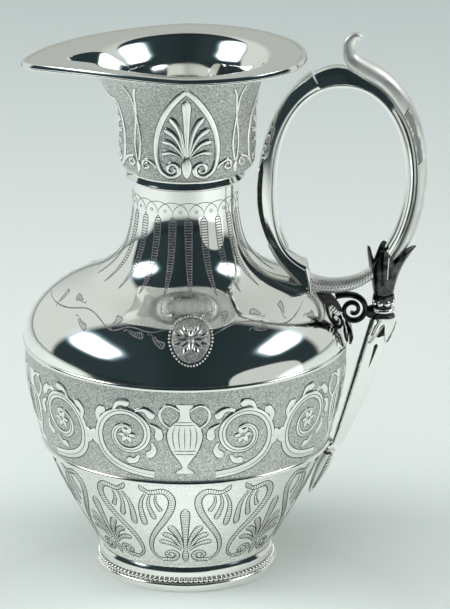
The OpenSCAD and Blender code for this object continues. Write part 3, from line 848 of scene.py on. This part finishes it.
def bowl_ornament():
    """Palmettes between lyre scrolls with hanging buds, engraved with hatching inside the shapes."""
    art = Ornament(Turned(bowl_curve, bowl_z + wall))
    look = dict(height=0.06, outline=0.34, hatch=0.8)
    lyre = spline([(13.6, 36.2), (11.6, 34.4), (9.4, 34.6), (6.8, 35.0), (4.6, 33.0), (4.2, 29.0),
                   (5.8, 24.2), (8.2, 19.2), (10.2, 14.4), (10.7, 9.8), (9.6, 5.8), (7.0, 3.6)], 6)
    t = np.linspace(0, 1, len(lyre))
    lyre_half = 0.35 + 0.75 * np.sin(math.pi * np.clip(t * 1.15, 0, 1)) ** 0.7
    leaves = [([(12.6, 33.6), (13.9, 30), (13.8, 25.5), (12.4, 19.6)], 1.15),
              ([(11.0, 33.4), (11.6, 30), (10.8, 26.5), (9.4, 22.8)], 0.95),
              ([(9.2, 33.2), (9.3, 30.5), (8.4, 28.2), (7.4, 26.6)], 0.8),
              ([(0.8, 9), (1.6, 13.5), (3.0, 17), (5.0, 20.2)], 1.35),
              ([(0.9, 8.8), (2.4, 12), (4.2, 14.8), (7.1, 16.4)], 1.25),
              ([(1.0, 8.5), (3.0, 10.6), (5.2, 12), (8.2, 12.6)], 1.15)]

    def half_unit():
        art.band(lyre, lyre_half, **look)
        art.spiral((4.5, 6.2), -60, -1.3, 2.7, 0.6, 0.8, 0.5, lead=[(7.2, 3.6)], **look)
        art.leaf([(11.8, 34.6), (13.4, 35.4), (14.6, 37.0)], 0.7, "lens", **look)
        for knots, half in leaves:
            art.leaf(knots, half, **look)

    for turn in angles(8):
        art.angle = FRONT + turn
        art.mirrored(half_unit)
        art.leaf([(0, 8.4), (0, 28)], 1.75, **look)
        art.leaf([(0, 8.6), (0, 2.6)], 1.0, "lens", **look)
    art.finish("bowl", SATIN)


def frieze_ornament():
    """Amphorae between leafy scrolls with rosettes, bright on the stippled ground."""
    art = Ornament(Turned(band_curve, band_z))
    vase = spline([(2.9, 3.2), (2.6, 4.0), (0.9, 5.4), (1.2, 6.6), (3.4, 10), (5.3, 14.6), (5.5, 18),
                   (3.6, 21), (1.9, 22.8), (1.7, 25.0), (3.0, 27.4)], 5)
    ear = spline([(1.6, 25.4), (5.4, 27.0), (7.6, 24.6), (6.6, 21.2), (4.6, 19.6)], 6)
    eye, lead = np.array([18.2, 16.2]), [(9.5, 2.2), (16.0, 3.2)]
    leaves = [(-35, 5.6, 26), (15, 5.4, 24), (62, 4.8, 24), (108, 5.4, 26), (150, 5.0, 26), (195, 4.6, 24),
              (240, 4.0, 22)]
    fine = dict(width=0.24, lift=0.2)

    def half_unit():
        art.band(ear, 0.5)
        art.spiral(eye, -52, 1.5, 10.8, 2.6, 1.5, 0.7, lead=lead, outline=0.32, core=0.24)
        for way in polar(angles(6)):
            art.leaf([eye + 0.5 * way, eye + 3.0 * way], 0.85, "lens")
        for a, reach, curl in leaves:
            r = 9.6 - 1.4 * max(a, 0) / 200
            bends = [(r, a), (r + 0.34 * reach, a + 0.55 * curl), (r + 0.3 * reach, a + 1.4 * curl)]
            art.leaf([eye + polar(b, q) for q, b in bends], 1.7, outline=0.3)

    def vase_half(v):
        return np.interp(v, vase[:, 1], vase[:, 0])

    flute = np.linspace(12.2, 20, 9)
    for turn in angles(5):
        art.angle = FRONT + turn
        art.mirrored(half_unit)
        art.band([(0, v) for v in vase[:, 1]], vase[:, 0], outline=0.32)
        for v in (10.4, 11.6, 20.6, 21.6):
            reach = 0.8 * vase_half(v)
            art.line([(u, v) for u in np.linspace(-reach, reach, 9)], **fine)
        for share in (-0.66, -0.33, 0, 0.33, 0.66):
            art.line(np.stack([share * vase_half(flute), flute], axis=1), **fine)
    art.finish("frieze")


# Handle

def opening_share(angle):
    """Sideways and upward share of the finger opening's half size at an angle."""
    return power(polar(angle), loop_round)


knop_u, knop_v = opening_share(knop_angle)
loop_x = knop_x - bow_t / 2 - loop_w / 2 * knop_u - loop_lean * knop_v
loop_z = calyx_z + 1.22 * calyx_h - loop_h / 2 * knop_v


def opening(angle):
    """Point on the edge of the finger opening, in the handle's plane."""
    u, v = opening_share(angle)
    return np.array([loop_x + loop_w / 2 * u + loop_lean * min(v, 0), loop_z + loop_h / 2 * v])


def limb(angle, inner_d, outer_d, half_width):
    """Knot of a limb that lies between two distances from the opening's edge."""
    out = rightward(opening(angle + 2) - opening(angle - 2))
    return *(opening(angle) + out * (inner_d + outer_d) / 2), (outer_d - inner_d) / 2, half_width


class Bar:
    """A bar in the handle's plane, addressed by the angle around its section and the length along it.

    Its knots are x, z, half thickness and half width, and run clockwise round the opening. Its section goes
    from the outer ridge over the front to the inner ridge, in half thicknesses and half widths."""

    def __init__(self, knots, section, steps=10):
        self.path = spline(knots, steps)
        self.out = leftward(self.path[:, :2])
        self.run = lengths(self.path[:, :2])
        half = np.array(section, float)
        way = lengths(half)
        turn = 180 * way / way[-1]
        self.turn = np.concatenate([turn, 360 - turn[-2::-1]])
        self.section = np.concatenate([half, half[-2::-1] * [1, -1]])

    def radius(self, v):
        return (np.interp(v, self.run, self.path[:, 2]) + np.interp(v, self.run, self.path[:, 3])) / 2

    def at(self, angle, v):
        x, z, thick, wide = (np.interp(v, self.run, self.path[:, k]) for k in range(4))
        out_x, out_z = (np.interp(v, self.run, self.out[:, k]) for k in (0, 1))
        o, w = (np.interp(np.mod(angle, 360), self.turn, self.section[:, k]) for k in (0, 1))
        return np.stack([x + out_x * thick * o, -wide * w, z + out_z * thick * o], axis=-1)

    def turn_at(self, share):
        """Angle around the section where its front lies at a share of the half thickness."""
        half = len(self.turn) // 2 + 1
        return np.interp(-share, -self.section[:half, 0], self.turn[:half])

    def mesh(self, name, sharp=38):
        rings = [self.at(self.turn[:-1], np.full(len(self.turn) - 1, v)) for v in self.run]
        return sweep(rings, name, sharp)


class Face:
    """A flat front or back in the handle's plane, addressed by x in place of an angle and by height."""

    def __init__(self, y):
        self.y = y

    def radius(self, v):
        return math.degrees(1) + 0 * v

    def at(self, angle, v):
        return np.stack([angle * -np.sign(self.y), self.y + 0 * v, v], axis=-1)


def round_section(e, points=13):
    """Half of a round or squarish section."""
    return power(polar(np.linspace(0, 180, points)), e)


# Half sections of the limbs, from the outer ridge over the front to the inner edge
sheath_section = [(1, 0), (1, 0.36), (0.93, 0.5), (0.8, 0.57), (0.4, 0.7), (0, 0.83), (-0.36, 0.95),
                  (-0.8, 0.98), (-0.95, 0.94), (-1, 0.8), (-1, 0)]
bow_section = [(1, 0), (1, 0.62), (0.95, 0.74), (0.86, 0.8), (0.3, 0.87), (-0.42, 0.95), (-0.9, 1),
               (-1, 0.92), (-1, 0)]
leaf_section = [(0.9, 0), (1, 0.16), (0.9, 0.48), (0.62, 0.76), (0.2, 0.94), (-0.3, 1), (-0.62, 0.97),
                (-0.8, 0.88), (-0.84, 0.78), (-0.95, 0.7), (-1, 0.4), (-1, 0)]
liner_section = [(1, 0), (1, 0.75), (0.8, 0.95), (0, 1), (-0.7, 0.9), (-1, 0.6), (-1, 0)]

# The right limb: angle, thickness of bow and of leaf, half width of bow and of leaf
outer_limb = [(65, 1.6, 1.39, 0.89, 1.34), (48, 1.13, 1.36, 0.86, 1.28), (30, 1.07, 1.19, 0.82, 1.14),
              (10, 1, 1.03, 0.79, 1), (-10, 1, 0.94, 0.79, 0.93), (-28, 1, 0.89, 0.79, 0.86),
              (-40, 1.13, 0.67, 0.79, 0.76)]
leaf_end = (-48, 1.2, 0.5, 0.79, 0.6)


def cut(mesh, point, away, limit):
    """Takes off what lies beyond a plane, below a height limit, and closes the opening."""
    build = bmesh.new()
    build.from_mesh(mesh)
    near = [part for part in build.verts[:] if part.co.z < limit * MM]
    near += [part for part in build.edges[:] + build.faces[:] if max(v.co.z for v in part.verts) < limit * MM]
    plane = dict(plane_co=Vector(point) * MM, plane_no=Vector(away))
    bmesh.ops.bisect_plane(build, geom=near, clear_outer=True, **plane)
    bmesh.ops.holes_fill(build, edges=[e for e in build.edges if e.is_boundary])
    bmesh.ops.recalc_face_normals(build, faces=build.faces)
    build.to_mesh(mesh)
    build.free()
    shade(mesh)


def groove_bar(art, share, width, start=0.0, stop=1.0):
    """A dark line along both faces of a bar, at a share of its half thickness."""
    bar = art.skin
    v = np.linspace(start, stop, 140) * bar.run[-1]
    path = np.stack([np.radians(bar.turn_at(share) - 90) * bar.radius(v), v], axis=1)
    art.on_faces(lambda: art.line(path, width))


def hatch_bar(art, start, stop, turns, pitch, slant, width, jitter=0):
    """Fine lines across both faces of a bar, slanting along it, with uneven ends."""
    bar = art.skin
    low_turn, high_turn = turns
    end_gap = 0.5
    hand = random.Random(7)
    for v in np.arange(start, stop, pitch):
        turn = np.linspace(low_turn + jitter * hand.random(), high_turn - jitter * hand.random(), 7)
        u = np.radians(turn - 90) * bar.radius(np.array([v]))[0]
        along = v + slant * (turn - low_turn) / (high_turn - low_turn)
        path = np.stack([u, np.clip(along, end_gap, bar.run[-1] - end_gap)], axis=1)
        art.on_faces(lambda: art.line(path, width))


def build_sheath():
    """The left limb, flared and cut off at the shoulder, with a groove, a wide dark line of painted
    reflection, edge lines and a bright end.
    """
    shape = [(262, -0.56, 1.8, 2.1), (248, -0.56, 0.96, 1.8), (236, -0.32, 0.77, 1.5),
             (224, -0.08, 0.78, 1.25), (210, 0, 0.84, 1.1), (195, 0, 0.96, 1.04), (180, 0, 1, 1),
             (165, 0, 0.86, 0.93), (150, 0, 0.8, 0.93), (130, 0, 0.84, 0.96),
             (113, 0, 1.06, 1.03), (108, 0, 1.16, 1.08)]
    bar = Bar([limb(a, i * limb_t, o * limb_t, w * limb_w / 2) for a, i, o, w in shape], sheath_section)
    mesh = bar.mesh("handle_sheath", 30)
    end_x, end_z = opening(240) + np.array([0.37, 0.4]) * limb_t
    tilt = math.radians(-8.7)
    cut(mesh, (end_x, 0, end_z), (math.cos(tilt), 0, -math.sin(tilt)), loop_z - loop_h / 4)
    dress(mesh, "handle_sheath", POLISHED)
    art = Ornament(bar)
    groove_bar(art, share=-0.9, width=0.42, start=0.24, stop=0.99)
    # The wide dark line near the outer edge is painted reflection of the dark room
    groove_bar(art, share=0.62, width=1.7, start=0.28, stop=0.62)
    art.finish("sheath", SOFT)

    ridge, ridge_end_x, ridge_lift = bar.turn_at(0.88), 39.1, 0.12
    seat = np.array([(35.2, 0.9, 91.9), (37.1, 4.0, 90.9), (38.8, 5.9, 89.7)])
    lip = np.array([(37.4, 5.0, 98.6), (38.3, 4.7, 94.0), (38.8, 5.4, 89.7)])
    edges, end = Pile(), Pile()
    for face, turn in [(-1, ridge), (1, 360 - ridge)]:
        edge = bar.at(turn, np.linspace(0.02, 0.27, 14) * bar.run[-1])
        edge = edge[edge[:, 0] < ridge_end_x]
        edges.tube(edge + [0, face * ridge_lift, 0], 0.42)
        edges.tube(seat * [1, face, 1], 0.45)
        end.tube(lip * [1, face, 1], 0.45)
    edges.trim("sheath_edges", SOFT)
    end.trim("sheath_end", BRIGHT)


def build_bow():
    """The wire that lines the opening, and the top and right limb with its grooves."""
    liner = [limb(a, -1.35, 0.1, 0.62 * limb_w / 2) for a in range(222, -46, -12)]
    trim(Bar(liner, liner_section, 6).mesh("opening_liner"), "opening_liner", POLISHED)
    upper = [(107, 1.0), (100, 1.08), (92, 1.12), (83, 0.84), (74, 0.56)]
    knots = [limb(a, 0, t * limb_t, 0.93 * limb_w / 2) for a, t in upper]
    knots += [limb(a, 0, t * bow_t, w * limb_w / 2) for a, t, _, w, _ in outer_limb]
    knots.append(limb(knop_angle, 0, 1.47 * bow_t, 0.79 * limb_w / 2))
    bar = Bar(knots, bow_section)
    dress(bar.mesh("handle_bow", 30), "handle_bow", POLISHED)
    art = Ornament(bar)
    groove_bar(art, share=-0.85, width=0.25, start=0.01, stop=0.97)
    groove_bar(art, share=0.4, width=1.1, start=0.3, stop=0.97)
    art.finish("bow")


def build_leaf():
    """The leaf over the right limb, whose curled tip is the thumbpiece."""
    curl = [(0.36, 0.9, 0.3, 0.45), (0.27, 0.95, 0.36, 0.6), (0.17, 0.88, 0.5, 0.75), (0.13, 0.73, 0.56, 0.9),
            (0.16, 0.55, 0.62, 1.14), (0.34, 0.38, 0.7, 1.34)]
    top_z = loop_z + loop_h / 2
    knots = [(loop_x + x * thumb_h, top_z + z * thumb_h, t * leaf_t, w * leaf_w / 2) for x, z, t, w in curl]
    for a, bow, leaf, _, half in outer_limb + [leaf_end]:
        inner_d = bow * bow_t + leaf_gap
        knots.append(limb(a, inner_d, inner_d + leaf * leaf_t, half * leaf_w / 2))
    bar = Bar(knots, leaf_section)
    dress(bar.mesh("handle_leaf"), "handle_leaf", SOFT)
    art = Ornament(bar)
    length = bar.run[-1]
    hatch_bar(art, 0.38 * length, 0.58 * length, (58, 125), pitch=0.85, slant=2.2, width=0.5, jitter=22)
    hatch_bar(art, 0.58 * length, length - 1, (30, 90), pitch=1.1, slant=2.2, width=0.2, jitter=20)
    groove_bar(art, share=-0.82, width=0.5, start=0.05, stop=0.98)
    art.finish("leaf")


def build_stem():
    """The hatched lower limb."""
    shape = [(306, 0.75, 0.8), (294, 0.85, 0.85), (282, 1, 0.89), (270, 1.1, 0.95), (258, 1.25, 1.05),
             (248, 1.28, 1.1), (240, 1.05, 1.0)]
    bar = Bar([limb(a, 0, t * stem_t, w * limb_w / 2) for a, t, w in shape], round_section(0.9))
    dress(bar.mesh("handle_stem"), "handle_stem", SOFT)
    art = Ornament(bar)
    hatch_bar(art, 1, bar.run[-1] - 2, (15, 160), pitch=1.0, slant=-3.2, width=0.45, jitter=8)
    art.finish("stem", line_material=SCRATCH)


def build_calyx():
    """Calyx of four leaves with bright ribs, round both ends of the loop."""
    columns, tiers = 96, 15
    turn = np.radians(angles(columns))
    lobe = np.abs(np.cos(2 * turn)) ** 1.4
    rib = np.exp(-((np.mod(turn + math.pi / 4, math.pi / 2) - math.pi / 4) / 0.16) ** 2)
    spread = knop_r * lobe * (0.13 + 0.53 * np.cos(turn) + 0.49 * np.cos(turn) ** 2)

    def tier(t, inset):
        cup = 0.62 + 0.38 * min(1, 1.15 * t) ** 0.7
        r = knop_r * cup + spread * t ** 2.4 - inset + 0.35 * rib * (0.3 + 0.7 * t)
        z = calyx_z - 0.3 + calyx_h * (1.05 + 0.56 * lobe) * t
        return np.stack([knop_x + r * np.cos(turn), r * np.sin(turn), z], axis=1)

    rings = [tier(t, 0) for t in np.linspace(0, 1, tiers)]
    rings += [tier(1, 0.5), tier(0.85, 0.8), tier(0.6, 0.9)]
    # The calyx is painted dark: painted reflection of the dark room in front
    dress(sweep(rings, "knop_upper_leaves"), "knop_upper_leaves", PAINTED_DARK)
    lines = np.stack([tier(t, 0.05) for t in np.linspace(0.42, 0.93, 7)])
    ribs, aside = Pile(), 4
    for column in (0, columns // 4 - aside, columns // 2, 3 * columns // 4 + aside):
        ribs.tube(lines[:, column], 0.21)
    ribs.trim("calyx_ribs", BRIGHT)


def build_waist():
    """The knop's waist with a polished ring and eight beads."""
    place, height, axis_r = (knop_x, 0, waist_z), calyx_z - waist_z, 0.01
    profile = [(axis_r, 0), (3.4, 0), (3.6, 0.4), (3.2, 0.9), (2.5, 1.3), (2.4, 3.6), (2.9, 4.1), (3.4, 5.1),
               (3.5, 6.1), (3.3, height), (axis_r, height)]
    # The knop's waist is painted dark: painted reflection of the dark room in front
    dress(revolve(profile, "knop_beads", 64, place=place), "knop_beads", PAINTED_DARK)
    ring = np.array([2.95, 2.3]) + polar(angles(16), (0.75, 0.7))
    trim(revolve(ring, "knop_ring", 64, 80, place), "knop_ring", POLISHED)
    beads, ring_r, ball_r, ball_z = 8, 2.75, 1.1, 4.9
    balls = Pile()
    for offset in polar(angles(beads) + 180 / beads, ring_r):
        balls.ball(np.array([*offset, ball_z]) + place, ball_r)
    balls.trim("knop_balls", POLISHED)


def build_skirt():
    """Four leaves that hang from the knop over the strut, with a bright edge."""
    columns, lean, aside, wire_r = 96, -0.31, 0.8, 0.38
    turn = np.radians(angles(columns))
    drop = 2 + 6.2 * np.abs(np.sin(2 * turn)) ** 1.2

    def tier(side_x, side_y, depth):
        x = knop_x + aside + side_x * np.cos(turn) + lean * depth
        return np.stack([x, side_y * np.sin(turn), waist_z - depth + 0 * turn], axis=1)

    rings = [tier(3.0, knop_bead_r, 0), tier(3.5, 2.9, 1), tier(3.7, 3.1, (2 + drop) / 2),
             tier(3.5, 2.7, drop), tier(3.1, 2.3, drop), tier(3.1, 2.3, 2)]
    dress(sweep(rings, "knop_lower_leaves"), "knop_lower_leaves", POLISHED)
    out = np.stack([np.cos(turn), np.sin(turn), 0 * turn], axis=1)
    circle = polar(angles(8), wire_r)
    rings = [p + circle @ np.array([o, (0, 0, 1)]) for p, o in zip(tier(3.6, 2.8, drop), out)]
    trim(sweep(rings, "skirt_edge", 80, joined=True), "skirt_edge", BRIGHT)


def build_strut():
    """A tapering strut with a dark inner edge, a drop-shaped groove and a dark line of painted shadow below
    the skirt.
    """
    top_x, top_z = knop_x - 0.6, waist_z - 1.2
    foot_x, foot_z = knob_x + 1.5 * knob_r, knob_z - 0.3 * knob_r
    shape = [(0, 0, 0.5), (0.22, 0.19, 0.49), (0.45, 0.40, 0.45), (0.75, 0.71, 0.34), (1, 1, 0.2)]
    knots = [(between(top_x, foot_x, run), between(top_z, foot_z, fall), w * strut_w,
              strut_t / 2 * (0.7 + 0.6 * w)) for fall, run, w in shape]
    section = [(1, 0), (1, 0.7), (0.94, 0.88), (0.8, 0.97), (-0.6, 1), (-0.68, 0.97), (-0.95, 0.6),
               (-1, 0.5), (-1, 0)]
    bar = Bar(knots, section)
    dress(bar.mesh("strut", 30), "strut", POLISHED)
    art = Ornament(bar)
    v = np.linspace(0.4, bar.run[-1] - 1, 60)
    edge_turn = (bar.turn_at(-0.68) + bar.turn_at(-0.95)) / 2
    edge = np.stack([np.radians(edge_turn - 90) * bar.radius(v), v], axis=1)
    t = np.linspace(0, 1, 24)
    drop = np.stack([0 * t - 0.3, between(7.5, 16, t)], axis=1)
    drop_half = 0.75 * (1 - t) ** 0.8 * np.sqrt(np.clip(t / 0.08, 0.02, 1))

    def strips():
        art.strip(art.lines, edge, 0.2 * bar.radius(v) + 0.25, [(-1, 0.02), (0, 0.06), (1, 0.02)])
        art.strip(art.lines, drop, drop_half, [(-1, -0.04), (0, 0.05), (1, -0.04)])

    art.on_faces(strips)
    art.finish("strut")
    # A wide dark stroke on each face below the skirt's leaves: painted shadow
    for name, face in [("skirt_painted_shadow_front", -1), ("skirt_painted_shadow_back", 1)]:
        art = Ornament(Face(face * (strut_t / 2 + 0.1)), angle=0.0)
        art.side = -face
        art.line(np.linspace((knop_x - 0.8, waist_z - 1.6), (knop_x - 1.8, waist_z - 6.4), 12), 3.4)
        art.finish(name)


def build_strut_foot():
    """The knob, the boss with a painted shadow below it, and the leaf at the strut's lower end."""
    knob, boss, shadow_tubes = Pile(), Pile(), Pile()
    knob.ball((knob_x, 0, knob_z), knob_r, 28, 16)
    dress(knob.mesh("strut_knob"), "strut_knob", POLISHED)
    boss_place, boss_r = (45.1, 0, 38.6), 1.9
    boss.ball(boss_place, boss_r, 28, 16)
    boss.trim("strut_boss", POLISHED)
    # A dark tube under the boss on each face: painted shadow
    shadow_path = np.array([(42.9, 2.0, 37.4), (44.2, 2.1, 36.4), (45.6, 1.9, 36.5)])
    for face in (-1, 1):
        shadow_tubes.tube(shadow_path * [1, face, 1], 0.4)
    shadow_tubes.trim("boss_shadow", LINE_AND_SHADE)

    top, tip = np.array([45.6, 37.4]), np.array([38.9, 22.9])
    shape = [(0, 1.3, 1.9), (0.25, 2.0, 2.4), (0.55, 1.7, 2.2), (0.82, 1.1, 1.5), (1, 0.4, 0.6)]
    bar = Bar([(*between(top, tip, t), thick, wide) for t, thick, wide in shape], leaf_section)
    dress(bar.mesh("strut_leaf"), "strut_leaf", SOFT)
    art = Ornament(bar)
    groove_bar(art, share=-0.8, width=0.5)
    groove_bar(art, share=0.1, width=0.3, start=0.1, stop=0.9)
    hatch_bar(art, 1, bar.run[-1] - 2, (50, 80), pitch=1.3, slant=1.4, width=0.4)
    art.finish("strut_leaf", SOFT)


def build_scroll():
    """The scroll between shoulder and knop, a small counter scroll, and a link to the knop."""
    wire_t, wire_w = 0.21 * scroll_r, 0.35 * scroll_r
    x, z = knop_x - knop_bead_r - scroll_r - wire_t - 0.9, waist_z + 2.1
    root_x, root_z = low("scroll_bracket", "x") + 0.3, z + 4.4
    knots = [(root_x, root_z, wire_t, 0.87 * wire_w), ((root_x + x) / 2, root_z + 0.5, wire_t, wire_w)]
    for k in np.linspace(0, 1, 17):
        out, up = polar(70 - 560 * k, scroll_r * (1 - 0.8 * k))
        knots.append((x + out, z + 1.05 * up, wire_t * (1 - 0.39 * k), wire_w * (1 - 0.2 * k)))
    # The scroll, the counter scroll and the link are painted near black: painted shade and reflection of the
    # dark room
    dress(Bar(knots, round_section(0.8), 6).mesh("scroll_bracket"), "scroll_bracket", PAINTED_BLACK)

    small_x, small_z, small_r = x - 1.36 * scroll_r, z - 0.5 * scroll_r, 1.55
    knots = [(small_x - 1.5, small_z + 4.2, 0.5, 1.0), (small_x - 1.7, small_z + 2.0, 0.55, 1.0)]
    for k in range(10):
        out, up = polar(190 + 42 * k, small_r * (1 - 0.075 * k))
        knots.append((small_x + out, small_z + up, 0.55 - 0.02 * k, 1.0))
    trim(Bar(knots, round_section(0.8), 6).mesh("counter_scroll"), "counter_scroll", PAINTED_BLACK)
    link_x = x + scroll_r
    knots = [(link_x - 0.4, z - 0.3, 1.4, 1.1), (link_x + 1.2, z - 0.6, 2.2, 1.4),
             (knop_x - 2.4, z - 0.8, 2.7, 1.8)]
    trim(Bar(knots, round_section(0.9), 6).mesh("scroll_link"), "scroll_link", PAINTED_BLACK)


def build_root():
    """The plate that seats the handle on the shoulder, painted dark as painted shade, with beads along its
    lower edge.
    """
    skin = Turned(shoulder_curve, shoulder_z)
    top, bottom = skin.run_at(89.0), skin.run_at(82.5)
    centre, reach = (0, (top + bottom) / 2), (5.6, (top - bottom) / 2)
    art = Ornament(skin, angle=0.0)
    art.plate(centre, reach, 0.9)
    # The plate's dull dark colour is painted shade
    dress(art.raised.mesh("handle_root", 38), "handle_root", LINE_AND_SHADE)
    art = Ornament(skin, angle=0.0)
    for place in centre + polar(np.linspace(180, 360, 15), reach):
        art.dot(place, 0.55, 1.1)
    art.finish("root_beads", POLISHED)


# Stage, in metres

def product_of(tree):
    """A node that multiplies its colours A and B."""
    product = tree.nodes.new("ShaderNodeMix")
    product.data_type, product.blend_type = "RGBA", "MULTIPLY"
    product.inputs["Factor"].default_value = 1
    return product


def math_of(tree, operation, source, value=0.0):
    """A value worked on by an operation with a second value."""
    node = tree.nodes.new("ShaderNodeMath")
    node.operation = operation
    node.inputs[1].default_value = value
    wire(tree, source, node.inputs[0])
    return node.outputs[0]


def axes_of(tree, source):
    split = tree.nodes.new("ShaderNodeSeparateXYZ")
    wire(tree, source, split.inputs["Vector"])
    return split.outputs


def to_share(tree, source):
    """A value from -1 to 1, brought to 0 to 1."""
    spread = node_of(tree, "ShaderNodeMapRange", From_Min=-1.0, From_Max=1.0)
    wire(tree, source, spread.inputs["Value"])
    return spread.outputs["Result"]


def build_floor():
    """A pale floor that darkens far in front and a little far behind, with a painted pool of light just in
    front of the jug and faint painted shade round it.
    """
    material, tree, shader = material_of("pale_floor", Roughness=0.7, Specular_IOR_Level=0.1)
    place = tree.nodes.new("ShaderNodeTexCoord").outputs["Object"]
    product = product_of(tree)
    # Near black far in front, where it stands for the dark room, and a little darker far behind as painted
    # shade
    tones = [(0.2, (0.035, 0.05, 0.055)), (0.285, (0.62, 0.67, 0.65)), (0.35, (0.86, 0.93, 0.9)),
             (0.52, (0.88, 0.95, 0.92)), (0.62, (0.89, 0.94, 0.92)), (0.84, (0.74, 0.82, 0.81))]
    ramp(tree, to_share(tree, axes_of(tree, place)["Y"]), tones, product.inputs["A"])
    # A painted pool of light just in front of the jug, with faint painted shade in a ring round it
    near = tree.nodes.new("ShaderNodeVectorMath")
    near.operation = "DISTANCE"
    near.inputs[1].default_value = (0, -0.048, 0)
    wire(tree, place, near.inputs[0])
    ramp(tree, near.outputs["Value"], [(0.02, 1.0), (0.07, 0.8), (0.14, 0.88)], product.inputs["B"])
    wire(tree, product.outputs["Result"], shader.inputs["Base Color"])
    reach = 4.0
    corners = [(-reach, -reach, 0), (reach, -reach, 0), (reach, reach, 0), (-reach, reach, 0)]
    mesh = bpy.data.meshes.new("floor")
    mesh.from_pydata(corners, [], [(0, 1, 2, 3)])
    link(mesh, "floor", material)


def build_surround():
    """A dark room in front and a pale one behind, brighter at its sides, and a plain backdrop."""
    world = bpy.data.worlds.new("studio")
    bpy.context.scene.world = world
    world.use_nodes = True
    tree = world.node_tree
    axes = axes_of(tree, tree.nodes.new("ShaderNodeTexCoord").outputs["Generated"])
    product = product_of(tree)
    ramp(tree, axes["Y"], [(0.27, (0.022, 0.036, 0.04)), (0.36, (0.6, 0.645, 0.61))], product.inputs["A"])
    side_tones = [(0.3, 1.1), (0.44, 0.76), (0.55, 0.74), (0.7, 0.92), (0.8, 1.0)]
    ramp(tree, to_share(tree, axes["X"]), side_tones, product.inputs["B"])
    choose = tree.nodes.new("ShaderNodeMix")
    choose.data_type = "RGBA"
    wire(tree, tree.nodes.new("ShaderNodeLightPath").outputs["Is Camera Ray"], choose.inputs["Factor"])
    wire(tree, product.outputs["Result"], choose.inputs["A"])
    choose.inputs["B"].default_value = (0.55, 0.62, 0.6, 1)
    wire(tree, choose.outputs["Result"], tree.nodes["Background"].inputs["Color"])


def lamp_of(name, shape, size, watts, place, aim=None):
    """An area light that the camera doesn't see, aimed at a point or straight down."""
    data = bpy.data.lights.new(name, "AREA")
    data.shape = shape
    data.size, data.size_y = size
    data.energy = watts
    lamp = bpy.data.objects.new(name, data)
    lamp.location = place
    if aim:
        lamp.rotation_euler = (Vector(aim) - lamp.location).to_track_quat("-Z", "Y").to_euler()
    lamp.visible_camera = False
    bpy.context.scene.collection.objects.link(lamp)
    return lamp


def soften(light):
    """Lets a softbox fade out towards its edges, with a cool fringe."""
    edge, full, falloff = 0.5, 0.1, 5.0
    light.use_nodes = True
    tree = light.node_tree
    axes = axes_of(tree, tree.nodes.new("ShaderNodeNewGeometry").outputs["Parametric"])
    product = tree.nodes.new("ShaderNodeMath")
    product.operation = "MULTIPLY"
    for axis, socket in zip("XY", product.inputs):
        away = math_of(tree, "ABSOLUTE", math_of(tree, "SUBTRACT", axes[axis], 0.5))
        fade = node_of(tree, "ShaderNodeMapRange", From_Min=edge, From_Max=full)
        fade.interpolation_type = "SMOOTHSTEP"
        wire(tree, away, fade.inputs["Value"])
        wire(tree, math_of(tree, "POWER", fade.outputs["Result"], falloff), socket)
    emission = tree.nodes["Emission"]
    wire(tree, product.outputs[0], emission.inputs["Strength"])
    fringe = [(0.0, (0.45, 0.8, 0.95)), (0.2, (1.0, 1.0, 1.0))]
    ramp(tree, product.outputs[0], fringe, emission.inputs["Color"])


def build_lights():
    """Two softboxes at the sides, a card low at the right, and a ceiling that the silver doesn't mirror."""
    middle_z, distance, rise = 0.09, 1.6, 40
    out, up = polar(rise, distance)
    boxes = [("softbox_left", -1, (2.3, 1.26), 58, -0.12), ("softbox_right", 1, (1.94, 1.08), 42, 0)]
    for name, side, size, watts, forward in boxes:
        place = (side * out, forward, middle_z + up)
        soften(lamp_of(name, "RECTANGLE", size, watts, place, (0, 0, middle_z)).data)
    card_z = 0.02
    card = lamp_of("low_card", "ELLIPSE", (0.5, 0.36), 0.26, (0.38, -0.25, card_z), (0, 0, card_z))
    card.data.color = (0.95, 1, 0.94)
    ceiling = lamp_of("ceiling", "SQUARE", (2.4, 2.4), 38, (-0.3, -1.0, 2.0))
    ceiling.visible_glossy = False


def build_camera():
    """The photograph's viewpoint: a long lens from the front, looking down at the jug."""
    downward = 18.66
    data = bpy.data.cameras.new("camera")
    data.sensor_width = 36
    data.lens = 320.5
    camera = bpy.data.objects.new("camera", data)
    camera.location = (0.01225, -1.6, 0.6254)
    camera.rotation_euler = (math.radians(90 - downward), 0, 0)
    bpy.context.scene.collection.objects.link(camera)
    bpy.context.scene.camera = camera


bpy.context.scene.view_settings.view_transform = "Standard"
build_camera()
build_body()
build_beads()
build_mouth()
build_rim()
collar_ornament()
neck_ornament()
bowl_ornament()
vine_ornament()
medallion()
frieze_ornament()
build_sheath()
build_bow()
build_leaf()
build_stem()
build_calyx()
build_waist()
build_skirt()
build_strut()
build_strut_foot()
build_scroll()
build_root()
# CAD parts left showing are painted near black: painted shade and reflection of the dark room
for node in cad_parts.values():
    if not node.hide_render:
        node.data.materials.clear()
        node.data.materials.append(PAINTED_BLACK)
build_floor()
build_surround()
build_lights()
